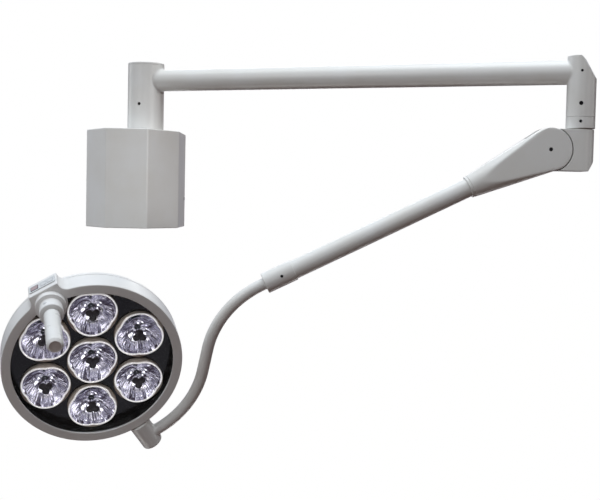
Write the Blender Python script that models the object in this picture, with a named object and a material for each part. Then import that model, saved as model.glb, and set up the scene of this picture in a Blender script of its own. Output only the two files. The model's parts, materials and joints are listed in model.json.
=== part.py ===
"""Wall-mounted dental operating light: wall unit, horizontal arm, elbow, sprung arm, S-shaped yoke, lamp head.

Metres, +Z up. The origin is the centre of the wall plate's flat back, which lies on the wall at Y = 0,
and the lamp reaches out towards -Y. Each body has an empty on its joint's axis, and its pieces are
modelled in that empty's own frame.
"""

from math import acos, cos, pi, radians, sin, sqrt

import bmesh
import bpy
from mathutils import Matrix, Vector

GAP = 0.0003

# Wall unit
COVER_HALF_WIDTH = 0.0985
COVER_FRONT_HALF = 0.0435
COVER_DEPTH = 0.215
COVER_SLANT_DEPTH = 0.085
COVER_HALF_HEIGHT = 0.103
SHEET = 0.002
PLATE_HALF_WIDTH = 0.0955
PLATE_HALF_HEIGHT = 0.0995
PLATE_THICKNESS = 0.006
PLATE_HOLE_X = 0.070
PLATE_HOLE_Z = 0.075
SHELF_TOP = 0.030
SHELF_THICKNESS = 0.010

# Horizontal arm: the post's axis is the base joint, and its frame is at the arm tube's height
POST_X = 0.027
POST_Y = -0.135
ARM_HEIGHT = 0.208
ARM_HEADING = radians(-20.73)
ARM_REACH = 0.9023
POST_RADIUS = 0.038
POST_WALL = 0.004
POST_TOP = 0.0365
POST_FOOT = -0.1643
SPINDLE_RADIUS = 0.023
ARM_RADIUS = 0.0225
ARM_WALL = 0.0025
HEAD_RADIUS = 0.0265
ELBOW_HEAD_TOP = 0.0290
ELBOW_HEAD_FOOT = -0.0822
RING_FOOT = -0.1035
ELBOW_BORE = 0.0155

# Elbow: its frame is on the elbow's axis at the height of the spring arm's pivot
PIVOT_DROP = 0.1432
ELBOW_HEADING = radians(182.1)
PIVOT_REACH = 0.0592
BLOCK_HALF_THICKNESS = 0.025
BLOCK_TOP = 0.038
BLOCK_FOOT = -0.0383
TONGUE_HALF = 0.009
CHEEK_RADIUS = 0.0397
CHEEK_CLEARANCE = 0.0416
CAM_RADIUS = 0.020
CAM_OFFSET = 0.008
PIN_RADIUS = 0.006
ELBOW_SPINDLE_RADIUS = 0.013

# Spring arm: X runs down the arm from the pivot
ARM_TILT = radians(26.4)
SLEEVE_END = 0.574
SLEEVE_LENGTH = 0.0586
SLEEVE_RADIUS = 0.0195
SPRING_TUBE_RADIUS = 0.0174
SPRING_TUBE_BORE = 0.0154
HOUSING_END = 0.162
HOUSING_END_RADIUS = 0.0205
SLOT_HALF = 0.0112
SPRING_START = 0.0675
SPRING_END = 0.2995
COIL_RADIUS = 0.0105
WIRE_RADIUS = 0.002
SHOE_RADIUS = 0.007
SHOE_X = 0.0304

# Yoke: X is the sleeve's axis, and the S bend lies in the XZ plane
YOKE_TURN = radians(-25.46)
S_TUBE_RADIUS = 0.0110
S_TUBE_BORE = 0.0090
S_STRAIGHT = (0.006, 0.0494, 0.0195)
S_BEND_RADIUS = (0.1753, 0.1799)
S_BEND_ANGLE = (radians(54.4), radians(49.8))
HUB_REACH = 0.1972
HUB_RADIUS = 0.020

# Lamp head: X points from the centre to the hub, Z is the light's direction, and Z = 0 is near the rims
HEAD_TURN = radians(-2.2)
RIM_RADIUS = 0.1625
RIM_WALL = 0.003
RIM_OPENING = 0.1455
RIM_FRONT = 0.016
RIM_LIP = 0.0035
RIM_BACK = -0.033
REFLECTOR_PITCH = 0.0973
REFLECTOR_RADIUS = 0.0455
REFLECTOR_TURN = radians(58.4)
POD_TURN = radians(-2.4)
POD_FACE = 0.178
POD_HALF_WIDTH = 0.0282
POD_BACK = -0.028
POD_FILLET = 0.017
POD_SPREAD = radians(14.58)
HANDLE_X = -0.1471
HANDLE_Y = 0.0040
FLANGE_RADIUS = 0.0271
COLLAR_RADIUS = 0.0212
COLLAR_END = 0.0550
CORE_RADIUS = 0.009
HANDLE_RADIUS = 0.0142
HANDLE_END = 0.165

PAINT = ("painted_white", (0.80, 0.80, 0.78), 0.35, 0.0)
SHELL = ("head_white", (0.82, 0.82, 0.81), 0.30, 0.0)
STEEL = ("steel", (0.55, 0.55, 0.57), 0.35, 1.0)
ZINC = ("zinc_plated", (0.62, 0.62, 0.60), 0.45, 1.0)
DARK = ("black_screw", (0.03, 0.03, 0.03), 0.45, 1.0)
BEARING = ("bearing_plastic", (0.75, 0.72, 0.62), 0.55, 0.0)
BRONZE = ("bronze", (0.60, 0.42, 0.20), 0.40, 1.0)
CASE = ("black_case", (0.05, 0.05, 0.06), 0.60, 0.0)
BOARD = ("circuit_board", (0.03, 0.16, 0.08), 0.50, 0.0)
ALUMINIUM = ("aluminium", (0.70, 0.70, 0.72), 0.40, 1.0)
FACE = ("black_face", (0.01, 0.01, 0.012), 0.15, 0.0)
MIRROR = ("reflector_chrome", (0.90, 0.90, 0.92), 0.05, 1.0)
CLEAR = ("clear_lens", (0.95, 0.95, 0.95), 0.05, 0.0)
MEMBRANE = ("keypad_grey", (0.72, 0.73, 0.74), 0.40, 0.0)
KEY = ("key_dark", (0.12, 0.10, 0.14), 0.45, 0.0)
GRIP = ("handle_white", (0.85, 0.85, 0.83), 0.30, 0.0)


def clear_scene():
    for obj in list(bpy.data.objects):
        bpy.data.objects.remove(obj, do_unlink=True)


def material(spec):
    name, colour, roughness, metallic = spec
    found = bpy.data.materials.get(name)
    if found:
        return found
    made = bpy.data.materials.new(name)
    made.use_nodes = True
    shader = made.node_tree.nodes["Principled BSDF"]
    shader.inputs["Base Color"].default_value = (*colour, 1.0)
    shader.inputs["Roughness"].default_value = roughness
    shader.inputs["Metallic"].default_value = metallic
    made.diffuse_color = (*colour, 1.0)
    return made


def body(name, parent, world):
    """An empty on a body's joint. Its world matrix is the body's own frame."""
    empty = bpy.data.objects.new(name, None)
    empty.empty_display_size = 0.05
    bpy.context.collection.objects.link(empty)
    empty["world"] = [value for row in world for value in row]
    if parent:
        empty.parent = parent
        empty.matrix_local = frame_of(parent).inverted() @ world
    else:
        empty.matrix_local = world
    return empty


def frame_of(empty):
    values = list(empty["world"])
    return Matrix([values[row * 4 : row * 4 + 4] for row in range(4)])


def frame_from(origin, x_axis, z_axis):
    x_axis = x_axis.normalized()
    y_axis = z_axis.cross(x_axis).normalized()
    z_axis = x_axis.cross(y_axis)
    turn = Matrix((x_axis, y_axis, z_axis)).transposed().to_4x4()
    return Matrix.Translation(origin) @ turn


def new_object(name, mesh, parent):
    obj = bpy.data.objects.new(name, mesh)
    bpy.context.collection.objects.link(obj)
    obj.parent = parent
    return obj


def piece(name, shape, spec, parent):
    """A node: the mesh of one real piece, in its body's frame."""
    bmesh.ops.recalc_face_normals(shape, faces=shape.faces)
    mesh = bpy.data.meshes.new(name)
    shape.to_mesh(mesh)
    shape.free()
    mesh.shade_smooth()
    mesh.set_sharp_from_angle(angle=radians(35))
    mesh.materials.append(material(spec))
    return new_object(name, mesh, parent)


def combine(target, shape, operation):
    """Cuts shape from the target, or joins it on, by a Boolean modifier with a hidden helper."""
    bmesh.ops.recalc_face_normals(shape, faces=shape.faces)
    mesh = bpy.data.meshes.new(target.name + "_tool")
    shape.to_mesh(mesh)
    shape.free()
    tool = new_object(target.name + "_tool", mesh, target.parent)
    tool.hide_render = True
    tool.display_type = "WIRE"
    modifier = target.modifiers.new(operation.lower(), "BOOLEAN")
    modifier.operation = operation
    modifier.solver = "EXACT"
    modifier.object = tool


def cut(target, *shapes):
    for shape in shapes:
        combine(target, shape, "DIFFERENCE")


def join(target, *shapes):
    for shape in shapes:
        combine(target, shape, "UNION")


def moved(shape, matrix):
    bmesh.ops.transform(shape, matrix=matrix, verts=shape.verts)
    return shape


def axis_matrix(axis):
    """Turns +Z onto the named axis."""
    return {
        "X": Matrix.Rotation(pi / 2, 4, "Y"),
        "Y": Matrix.Rotation(-pi / 2, 4, "X"),
        "Z": Matrix.Identity(4),
    }[axis]


def box(low, high):
    shape = bmesh.new()
    bmesh.ops.create_cube(shape, size=1.0)
    low, high = Vector(low), Vector(high)
    bmesh.ops.scale(shape, vec=high - low, verts=shape.verts)
    bmesh.ops.translate(shape, vec=(low + high) / 2, verts=shape.verts)
    return shape


def cylinder(radius, low, high, centre=(0, 0, 0), axis="Z", sides=20):
    shape = bmesh.new()
    bmesh.ops.create_cone(
        shape, cap_ends=True, segments=sides, radius1=radius, radius2=radius, depth=high - low
    )
    bmesh.ops.translate(shape, vec=(0, 0, (low + high) / 2), verts=shape.verts)
    return moved(shape, Matrix.Translation(Vector(centre)) @ axis_matrix(axis))


def prism(outline, low, high, axis="Z"):
    """Extrudes a closed outline. On axis Z it is (x, y), on Y it is (x, z)."""
    shape = bmesh.new()
    if axis == "Z":
        points = [Vector((x, y, low)) for x, y in outline]
        step = Vector((0, 0, high - low))
    else:
        points = [Vector((x, low, z)) for x, z in outline]
        step = Vector((0, high - low, 0))
    face = shape.faces.new([shape.verts.new(point) for point in points])
    made = bmesh.ops.extrude_face_region(shape, geom=[face])["geom"]
    verts = [item for item in made if isinstance(item, bmesh.types.BMVert)]
    bmesh.ops.translate(shape, vec=step, verts=verts)
    return shape


def turned(profile, sides=24, centre=(0, 0, 0), axis="Z"):
    """Turns a closed profile of (radius, height) points. Points at radius 0 lie on the axis."""
    shape = bmesh.new()
    rings = []
    for radius, height in profile:
        if radius == 0:
            rings.append([shape.verts.new((0, 0, height))])
            continue
        ring = []
        for index in range(sides):
            angle = 2 * pi * (index + 0.5) / sides
            ring.append(shape.verts.new((radius * cos(angle), radius * sin(angle), height)))
        rings.append(ring)
    for first, second in zip(rings, rings[1:] + rings[:1]):
        for index in range(sides):
            after = (index + 1) % sides
            if len(first) > 1 and len(second) > 1:
                shape.faces.new((first[index], first[after], second[after], second[index]))
            elif len(first) > 1:
                shape.faces.new((first[index], first[after], second[0]))
            elif len(second) > 1:
                shape.faces.new((first[0], second[after], second[index]))
    return moved(shape, Matrix.Translation(Vector(centre)) @ axis_matrix(axis))


def tube_along(path, outer, inner, sides=12):
    """A hollow tube, or a rod when inner is 0, through the points of a path in the XZ plane."""
    shape = bmesh.new()
    side_axis = Vector((0, 1, 0))
    loops = []
    for index, point in enumerate(path):
        before = path[max(index - 1, 0)]
        after = path[min(index + 1, len(path) - 1)]
        across = side_axis.cross((after - before).normalized())
        rings = []
        for radius in (outer, inner):
            ring = []
            for side in range(sides):
                angle = 2 * pi * side / sides
                offset = side_axis * (radius * cos(angle)) + across * (radius * sin(angle))
                ring.append(shape.verts.new(point + offset))
            rings.append(ring)
        loops.append(rings)
    for layer in (0, 1):
        for first, second in zip(loops, loops[1:]):
            for side in range(sides):
                after = (side + 1) % sides
                corners = (first[layer][side], first[layer][after])
                shape.faces.new((*corners, second[layer][after], second[layer][side]))
    for end in (loops[0], loops[-1]):
        for side in range(sides):
            after = (side + 1) % sides
            shape.faces.new((end[0][side], end[0][after], end[1][after], end[1][side]))
    return shape


def arc(centre, radius, start, end, count):
    """Points along an arc, from one angle to another."""
    step = (end - start) / (count - 1)
    return [
        (centre[0] + radius * cos(start + step * index), centre[1] + radius * sin(start + step * index))
        for index in range(count)
    ]


# ---------------------------------------------------------------- wall unit


def cover_outline(inset, back):
    """The faceted outline of the cover, seen from above, moved inwards by inset."""
    slant = sqrt(COVER_SLANT_DEPTH**2 + (COVER_HALF_WIDTH - COVER_FRONT_HALF) ** 2)
    half = COVER_HALF_WIDTH - inset
    front = COVER_DEPTH - inset
    run = COVER_HALF_WIDTH - COVER_FRONT_HALF
    corner_side = COVER_DEPTH - COVER_SLANT_DEPTH - inset * (slant - COVER_SLANT_DEPTH) / run
    corner_front = COVER_FRONT_HALF - inset * (slant - run) / COVER_SLANT_DEPTH
    return [
        (-half, back),
        (-half, -corner_side),
        (-corner_front, -front),
        (corner_front, -front),
        (half, -corner_side),
        (half, back),
    ]


def make_wall_unit(root):
    plate = piece(
        "wall_plate",
        box(
            (-PLATE_HALF_WIDTH, -PLATE_THICKNESS, -PLATE_HALF_HEIGHT),
            (PLATE_HALF_WIDTH, 0, PLATE_HALF_HEIGHT),
        ),
        ZINC,
        root,
    )
    for x in (-PLATE_HOLE_X, PLATE_HOLE_X):
        for z in (-PLATE_HOLE_Z, PLATE_HOLE_Z):
            cut(plate, cylinder(0.00425, -0.02, 0.02, (x, 0, z), "Y", 12))
    gland_x, gland_z = -0.060, -0.030
    cut(plate, cylinder(0.0102, -0.02, 0.02, (gland_x, 0, gland_z), "Y", 16))
    gland = turned(
        [(0.0045, -0.004), (0.0098, -0.004), (0.0098, 0.0063), (0.0135, 0.0063), (0.0135, 0.011),
         (0.009, 0.020), (0.0045, 0.020)],
        16, (gland_x, 0, gland_z), "Y",
    )
    piece("cable_gland", moved(gland, Matrix.Scale(-1, 4, (0, 1, 0))), CASE, root)
    make_bracket(root)
    make_electrics(root)
    make_cover(root)


def make_bracket(root):
    back = -PLATE_THICKNESS - GAP
    half = 0.0375
    shelf = piece(
        "support_bracket",
        box((POST_X - half, -0.1735, SHELF_TOP - SHELF_THICKNESS), (POST_X + half, back, SHELF_TOP)),
        ZINC,
        root,
    )
    join(shelf, box((POST_X - half, back - 0.006, -0.080), (POST_X + half, back, SHELF_TOP - 0.001)))
    for x in (-0.032, 0.026):
        gusset = [(back - 0.003, -0.075), (back - 0.003, 0.025), (-0.160, 0.025)]
        web = prism(gusset, 0, 0.006, "Y")
        join(shelf, moved(web, Matrix.Translation((POST_X + x + 0.006, 0, 0)) @ Matrix.Rotation(pi / 2, 4, "Z")))
    cut(shelf, cylinder(0.009, SHELF_TOP - 0.02, SHELF_TOP + 0.01, (POST_X, POST_Y, 0), "Z", 12))
    foot = SHELF_TOP + GAP
    spindle = turned(
        [(0.006, foot), (0.036, foot), (0.036, foot + 0.0097), (SPINDLE_RADIUS, foot + 0.0097),
         (SPINDLE_RADIUS, 0.195), (0.021, 0.197), (0.006, 0.197)],
        24, (POST_X, POST_Y, 0),
    )
    piece("base_spindle", spindle, STEEL, root)


def make_electrics(root):
    supply = box((-0.085, -0.120, -0.070), (-0.030, -0.030, 0.060))
    bmesh.ops.bevel(supply, geom=supply.edges[:], offset=0.003, segments=1, affect="EDGES")
    piece("power_supply", supply, CASE, root)


def make_cover(root):
    cover = piece(
        "housing_cover",
        prism(cover_outline(0, -0.001), -COVER_HALF_HEIGHT, COVER_HALF_HEIGHT),
        PAINT,
        root,
    )
    inside = COVER_HALF_HEIGHT - SHEET
    cut(cover, prism(cover_outline(SHEET, 0.02), -inside, inside))
    cut(cover, cylinder(POST_RADIUS + 0.0015, 0.08, 0.12, (POST_X, POST_Y, 0), "Z", 32))
    tab_y, tab_z, screw = -0.018, -0.040, 0.0022
    for side, name in ((-1, "cover_screw_left"), (1, "cover_screw_right")):
        cut(cover, cylinder(screw + 0.0003, 0.09, 0.11, (side * 0.1 - 0.1, tab_y, tab_z), "X", 12))
        profile = [(0, 0.0925), (screw, 0.0925), (screw, 0.0988), (0.0042, 0.0988), (0.0036, 0.1004), (0, 0.1004)]
        bolt = turned(profile, 12, (0, 0, 0), "X")
        turn = Matrix.Rotation(pi if side < 0 else 0, 4, "Z")
        bolt = moved(bolt, Matrix.Translation((0, tab_y, tab_z)) @ turn)
        piece(name, bolt, STEEL, root)


# ----------------------------------------------------------- horizontal arm


def screw_in(target_objects, name, radius, low, high, height, heading, parent, slot=0.0004):
    """A set screw across a wall: its hole in the targets, and the screw itself."""
    turn = Matrix.Translation((0, 0, height)) @ Matrix.Rotation(heading, 4, "Z")
    for target, origin in target_objects:
        hole = cylinder(radius + slot, low - 0.002, high + 0.010, (0, 0, 0), "X", 12)
        cut(target, moved(hole, Matrix.Translation(origin) @ turn))
    origin = target_objects[0][1]
    screw = cylinder(radius, low, high, (0, 0, 0), "X", 12)
    piece(name, moved(screw, Matrix.Translation(origin) @ turn), DARK, parent)


def make_horizontal_arm(arm):
    bore = POST_RADIUS - POST_WALL
    post = piece(
        "post_tube",
        turned([(bore, POST_FOOT), (POST_RADIUS, POST_FOOT), (POST_RADIUS, POST_TOP - 0.0045), (bore, POST_TOP - 0.0045)], 32),
        PAINT,
        arm,
    )
    cut(post, cylinder(0.014, 0.020, 0.060, (0, 0, 0), "X", 16))
    plug = POST_TOP - 0.0042
    cap = [(0, plug - 0.008), (bore - 0.0004, plug - 0.008), (bore - 0.0004, plug), (POST_RADIUS, plug),
           (POST_RADIUS, POST_TOP - 0.0008), (POST_RADIUS - 0.0008, POST_TOP), (0, POST_TOP)]
    piece("post_cap", turned(cap, 32), PAINT, arm)
    screw_in([(post, Vector((0, 0, 0)))], "base_stop_screw", 0.003, 0.0290, 0.0365, -0.051,
             radians(-104) - ARM_HEADING, arm)
    make_base_bushes(arm, bore)

    beam = ARM_RADIUS - ARM_WALL
    tube = [(beam, 0.030), (ARM_RADIUS, 0.030), (ARM_RADIUS, ARM_REACH - 0.018), (beam, ARM_REACH - 0.018)]
    tube = piece("arm_tube", turned(tube, 24, (0, 0, 0), "X"), PAINT, arm)
    cut(tube, cylinder(POST_RADIUS + GAP, -0.06, 0.06, (0, 0, 0), "Z", 32))
    cut(tube, cylinder(HEAD_RADIUS + GAP, -0.06, 0.06, (ARM_REACH, 0, 0), "Z", 32))
    make_elbow_head(arm)


def make_base_bushes(arm, bore):
    inner = SPINDLE_RADIUS + 0.0003
    outer = bore - 0.0004
    foot = SHELF_TOP + 0.0103 - ARM_HEIGHT
    flanged = [(inner, foot), (0.0372, foot), (0.0372, POST_FOOT - GAP), (outer, POST_FOOT - GAP),
               (outer, POST_FOOT + 0.030), (inner, POST_FOOT + 0.030)]
    piece("lower_base_bush", turned(flanged, 24), BEARING, arm)
    plain = [(inner, -0.043), (outer, -0.043), (outer, -0.015), (inner, -0.015)]
    piece("upper_base_bush", turned(plain, 24), BEARING, arm)


def make_elbow_head(arm):
    centre = Vector((ARM_REACH, 0, 0))
    solid = [(0, ELBOW_HEAD_FOOT), (HEAD_RADIUS, ELBOW_HEAD_FOOT), (HEAD_RADIUS, ELBOW_HEAD_TOP - 0.002),
             (HEAD_RADIUS - 0.002, ELBOW_HEAD_TOP), (0, ELBOW_HEAD_TOP)]
    head = piece("elbow_head", turned(solid, 32, centre), PAINT, arm)
    cut(head, cylinder(ELBOW_BORE, ELBOW_HEAD_FOOT - 0.01, 0.008, centre, "Z", 24))
    slope = [(-0.0148, 0.060), (0.0275, -0.0158), (0.060, -0.0158), (0.060, 0.060)]
    cut(head, moved(prism(slope, -0.04, 0.04, "Y"), Matrix.Translation(centre)))
    heading = radians(-103) - ARM_HEADING
    screw_in([(head, centre)], "elbow_head_screw_upper", 0.0022, 0.0205, 0.0260, 0.0008, heading, arm)
    screw_in([(head, centre)], "elbow_head_screw_lower", 0.0035, 0.0195, 0.0256, -0.0581, heading, arm)
    ring_top = ELBOW_HEAD_FOOT - GAP
    ring = [(0.020, RING_FOOT), (HEAD_RADIUS - 0.001, RING_FOOT), (HEAD_RADIUS, RING_FOOT + 0.001),
            (HEAD_RADIUS, ring_top), (0.020, ring_top)]
    ring = piece("cover_ring", turned(ring, 32, centre), PAINT, arm)
    screw_in([(ring, centre)], "cover_ring_screw", 0.0025, 0.0210, 0.0258, -0.0908, heading, arm)
    inner = ELBOW_SPINDLE_RADIUS + 0.0003
    outer = ELBOW_BORE - 0.0003
    flange = BLOCK_TOP - PIVOT_DROP + GAP
    bush = [(inner, flange), (0.0195, flange), (0.0195, flange + 0.0024), (outer, flange + 0.0024),
            (outer, -0.010), (inner, -0.010)]
    piece("elbow_bush", turned(bush, 24, centre), BEARING, arm)


# -------------------------------------------------------------------- elbow


def make_elbow(elbow):
    pivot = Vector((PIVOT_REACH, 0, 0))
    block = piece("elbow_block", cylinder(BLOCK_HALF_THICKNESS, BLOCK_FOOT, BLOCK_TOP, (0, 0, 0), "Z", 32), PAINT, elbow)
    reach = PIVOT_REACH - 0.010
    join(block, box((0, -BLOCK_HALF_THICKNESS, BLOCK_FOOT), (reach, BLOCK_HALF_THICKNESS, BLOCK_TOP)))
    for low, high in ((-0.04, -TONGUE_HALF), (TONGUE_HALF, 0.04)):
        cut(block, cylinder(CHEEK_CLEARANCE, low, high, pivot, "Y", 48))
    # Between the cheeks the block narrows to a neck, which ends in the cam round the pivot.
    neck = 0.022
    for low, high in ((-0.06, -neck), (neck, 0.06)):
        cut(block, box((PIVOT_REACH - CHEEK_CLEARANCE, -0.0095, low), (0.06, 0.0095, high)))
    cam = cylinder(CAM_RADIUS, -TONGUE_HALF, TONGUE_HALF, pivot - Vector((0, 0, CAM_OFFSET)), "Y", 40)
    cut(block, box((reach - 0.004, -0.02, -0.03), (0.06, 0.02, 0.03)))
    join(block, cam)
    cut(block, cylinder(PIN_RADIUS + GAP, -0.03, 0.03, pivot, "Y", 20))
    corner = [(-0.0108, BLOCK_FOOT - 0.001), (-0.0258, BLOCK_FOOT + 0.0225), (-0.04, BLOCK_FOOT + 0.0225),
              (-0.04, BLOCK_FOOT - 0.02), (-0.0108, BLOCK_FOOT - 0.02)]
    cut(block, prism(corner, -0.04, 0.04, "Y"))
    cut(block, cylinder(ELBOW_SPINDLE_RADIUS + GAP, 0.012, 0.06, (0, 0, 0), "Z", 24))
    top = PIVOT_DROP - 0.008
    shaft = [(0, 0.0125), (ELBOW_SPINDLE_RADIUS, 0.0125), (ELBOW_SPINDLE_RADIUS, top), (0.011, top + 0.002), (0, top + 0.002)]
    piece("elbow_spindle", turned(shaft, 24), STEEL, elbow)
    piece("pivot_pin", cylinder(PIN_RADIUS, -0.0160, 0.0160, pivot, "Y", 20), STEEL, elbow)
    for side, name in ((1, "friction_washer_front"), (-1, "friction_washer_rear")):
        faces = sorted((side * (TONGUE_HALF + GAP), side * (SLOT_HALF - GAP)))
        washer = [(PIN_RADIUS + GAP, faces[0]), (0.016, faces[0]), (0.016, faces[1]), (PIN_RADIUS + GAP, faces[1])]
        piece(name, turned(washer, 20, pivot, "Y"), BEARING, elbow)


# --------------------------------------------------------------- spring arm


def housing_outline():
    """Round at the pivot, with straight edges tangent to that circle, down to the arm tube's collar."""
    lean = acos(CHEEK_RADIUS / sqrt(CHEEK_RADIUS**2 + HOUSING_END**2))
    swing = lean - acos(0) + 2 * acos(sqrt(0.5))
    taper = swing - lean
    for _ in range(20):
        taper = (CHEEK_RADIUS - HOUSING_END_RADIUS * cos(taper)) / HOUSING_END
    start = pi / 2 - taper
    round_end = arc((0, 0), CHEEK_RADIUS, start, 2 * pi - start, 33)
    return round_end + [(HOUSING_END, -HOUSING_END_RADIUS), (HOUSING_END, HOUSING_END_RADIUS)]


def make_spring_arm(spring):
    thick = BLOCK_HALF_THICKNESS
    housing = piece("rear_housing", prism(housing_outline(), -thick, thick, "Y"), PAINT, spring)
    round_section = [(0, -0.060), (0.046, -0.060), (0.046, 0.002), (0.0375, 0.050), (0.0300, 0.100),
                     (0.0245, 0.135), (HOUSING_END_RADIUS, HOUSING_END), (HOUSING_END_RADIUS, 0.170), (0, 0.170)]
    combine(housing, turned(round_section, 32, (0, 0, 0), "X"), "INTERSECT")
    cut(
        housing,
        box((-0.060, -SLOT_HALF, -0.060), (0.031, SLOT_HALF, 0.060)),
        cylinder(0.0145, 0.026, 0.145, (0, 0, 0), "X", 24),
        cylinder(SPRING_TUBE_RADIUS + GAP, 0.138, 0.180, (0, 0, 0), "X", 24),
        cylinder(PIN_RADIUS + 0.0004, -0.0163, 0.0163, (0, 0, 0), "Y", 20),
        cylinder(0.0037, -0.030, 0.030, (0, 0, 0), "Y", 12),
    )
    for side, name in ((1, "pivot_screw_front"), (-1, "pivot_screw_rear")):
        faces = sorted((side * 0.0166, side * 0.0246))
        piece(name, cylinder(0.0033, *faces, (0, 0, 0), "Y", 12), DARK, spring)
    make_spring_tube(spring)
    make_spring_and_rod(spring)


def make_spring_tube(spring):
    start = 0.1385
    end = SLEEVE_END - 0.0095
    tube = [(SPRING_TUBE_BORE, start), (SPRING_TUBE_RADIUS, start), (SPRING_TUBE_RADIUS, end), (SPRING_TUBE_BORE, end)]
    tube = piece("spring_tube", turned(tube, 24, (0, 0, 0), "X"), PAINT, spring)
    back = SLEEVE_END - SLEEVE_LENGTH
    wall = SLEEVE_END - 0.0035
    inner = SPRING_TUBE_RADIUS + GAP
    hole = S_TUBE_RADIUS + 0.0009
    sleeve = [(inner, back), (SLEEVE_RADIUS - 0.0005, back), (SLEEVE_RADIUS, back + 0.0005),
              (SLEEVE_RADIUS, SLEEVE_END - 0.001), (SLEEVE_RADIUS - 0.001, SLEEVE_END), (hole, SLEEVE_END),
              (hole, wall), (inner, wall)]
    sleeve = piece("front_sleeve", turned(sleeve, 24, (0, 0, 0), "X"), PAINT, spring)
    screw_x = SLEEVE_END - 0.034
    for target in (tube, sleeve):
        cut(target, cylinder(0.0029, 0.012, 0.030, (screw_x, 0, 0), "Y", 12))
    piece("sleeve_screw", cylinder(0.0025, 0.0158, 0.0190, (screw_x, 0, 0), "Y", 12), DARK, spring)
    bush = [(0.01335, SLEEVE_END - 0.070), (SPRING_TUBE_BORE - GAP, SLEEVE_END - 0.070),
            (SPRING_TUBE_BORE - GAP, SLEEVE_END - 0.010), (0.01335, SLEEVE_END - 0.010)]
    piece("yoke_bush", turned(bush, 24, (0, 0, 0), "X"), BEARING, spring)


def coil(turns, per_turn, sides):
    """A compression spring along X: a swept wire with closed ends."""
    shape = bmesh.new()
    rings = []
    count = turns * per_turn
    pitch = (SPRING_END - SPRING_START - 2 * WIRE_RADIUS) / count
    for index in range(count + 1):
        angle = 2 * pi * index / per_turn
        outward = Vector((0, cos(angle), sin(angle)))
        middle = outward * COIL_RADIUS + Vector((SPRING_START + WIRE_RADIUS + pitch * index, 0, 0))
        ring = []
        for side in range(sides):
            turn = 2 * pi * side / sides
            offset = outward * cos(turn) + Vector((sin(turn), 0, 0))
            ring.append(shape.verts.new(middle + offset * WIRE_RADIUS))
        rings.append(ring)
    for first, second in zip(rings, rings[1:]):
        for side in range(sides):
            after = (side + 1) % sides
            shape.faces.new((first[side], first[after], second[after], second[side]))
    shape.faces.new(rings[0])
    shape.faces.new(list(reversed(rings[-1])))
    return shape


def make_spring_and_rod(spring):
    piece("balance_spring", coil(11, 12, 4), STEEL, spring)
    stop = [(0.0047, SPRING_END + GAP), (SPRING_TUBE_BORE - GAP, SPRING_END + GAP),
            (SPRING_TUBE_BORE - GAP, SPRING_END + 0.012), (0.0047, SPRING_END + 0.012)]
    piece("spring_stop", turned(stop, 24, (0, 0, 0), "X"), STEEL, spring)


def make_rod(slider):
    """The rod's frame is the spring arm's: it slides along X as the arm tilts."""
    rod = [(0, 0.0375), (0.004, 0.0375), (0.004, 0.060), (0.012, 0.060), (0.012, 0.064), (0.004, 0.064),
           (0.004, 0.3295), (0.0035, 0.330), (0, 0.330)]
    piece("spring_rod", turned(rod, 16, (0, 0, 0), "X"), STEEL, slider)
    nose = arc((SHOE_X, 0), SHOE_RADIUS, pi / 2, 3 * pi / 2, 9)
    outline = nose + [(0.0372, -SHOE_RADIUS), (0.0372, SHOE_RADIUS)]
    piece("follower_shoe", prism(outline, -0.008, 0.008, "Y"), BRONZE, slider)


# --------------------------------------------------------------------- yoke


def s_path():
    """Points of the S tube in the yoke's XZ plane, from inside the sleeve to the hub's axis."""
    point = Vector((0, 0, 0))
    angle = 0.0
    path = [Vector((-0.066, 0, 0)), Vector((-0.003, 0, 0))]
    bends = ((S_BEND_RADIUS[0], S_BEND_ANGLE[0], 1), (S_BEND_RADIUS[1], S_BEND_ANGLE[1], -1))
    steps = 7
    for straight, (radius, bend, sense) in zip(S_STRAIGHT, bends):
        point = point + Vector((cos(angle), 0, -sin(angle))) * straight
        path.append(point)
        centre = point + Vector((-sin(angle), 0, -cos(angle))) * (radius * sense)
        for index in range(1, steps + 1):
            turn = angle + sense * bend * index / steps
            path.append(centre - Vector((-sin(turn), 0, -cos(turn))) * (radius * sense))
        point = path[-1]
        angle += sense * bend
    path.append(point + Vector((cos(angle), 0, -sin(angle))) * S_STRAIGHT[2])
    return path


def hub_frame():
    """The S tube's end in the yoke's frame: X along the hub's axis, away from the lamp's centre."""
    path = s_path()
    along = (path[-1] - path[-2]).normalized()
    lateral = Vector((0, 1, 0))
    outward = lateral.cross(along)
    return frame_from(path[-1], outward, lateral)


def make_yoke(yoke, head_in_yoke):
    tube = piece("s_tube", tube_along(s_path(), S_TUBE_RADIUS, S_TUBE_BORE), PAINT, yoke)
    near, far = HUB_REACH - 0.0330, HUB_REACH + 0.0215
    clear = cylinder(HUB_RADIUS + GAP, 0.15, 0.26, (0, 0, 0), "X", 32)
    cut(tube, moved(clear, head_in_yoke))
    spigot = [(S_TUBE_RADIUS + 0.0004, -0.072), (0.013, -0.072), (0.013, -0.0085), (0.0168, -0.0085),
              (0.0168, -0.0040), (S_TUBE_RADIUS + 0.0004, -0.0040)]
    piece("yoke_spigot", turned(spigot, 24, (0, 0, 0), "X"), STEEL, yoke)
    hub = [(0.0106, near), (HUB_RADIUS - 0.001, near), (HUB_RADIUS, near + 0.001), (HUB_RADIUS, far - 0.003),
           (HUB_RADIUS - 0.003, far), (0, far), (0, far - 0.010), (0.0106, far - 0.010)]
    piece("hub", moved(turned(hub, 32, (0, 0, 0), "X"), head_in_yoke), PAINT, yoke)


# --------------------------------------------------------------- lamp head


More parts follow.
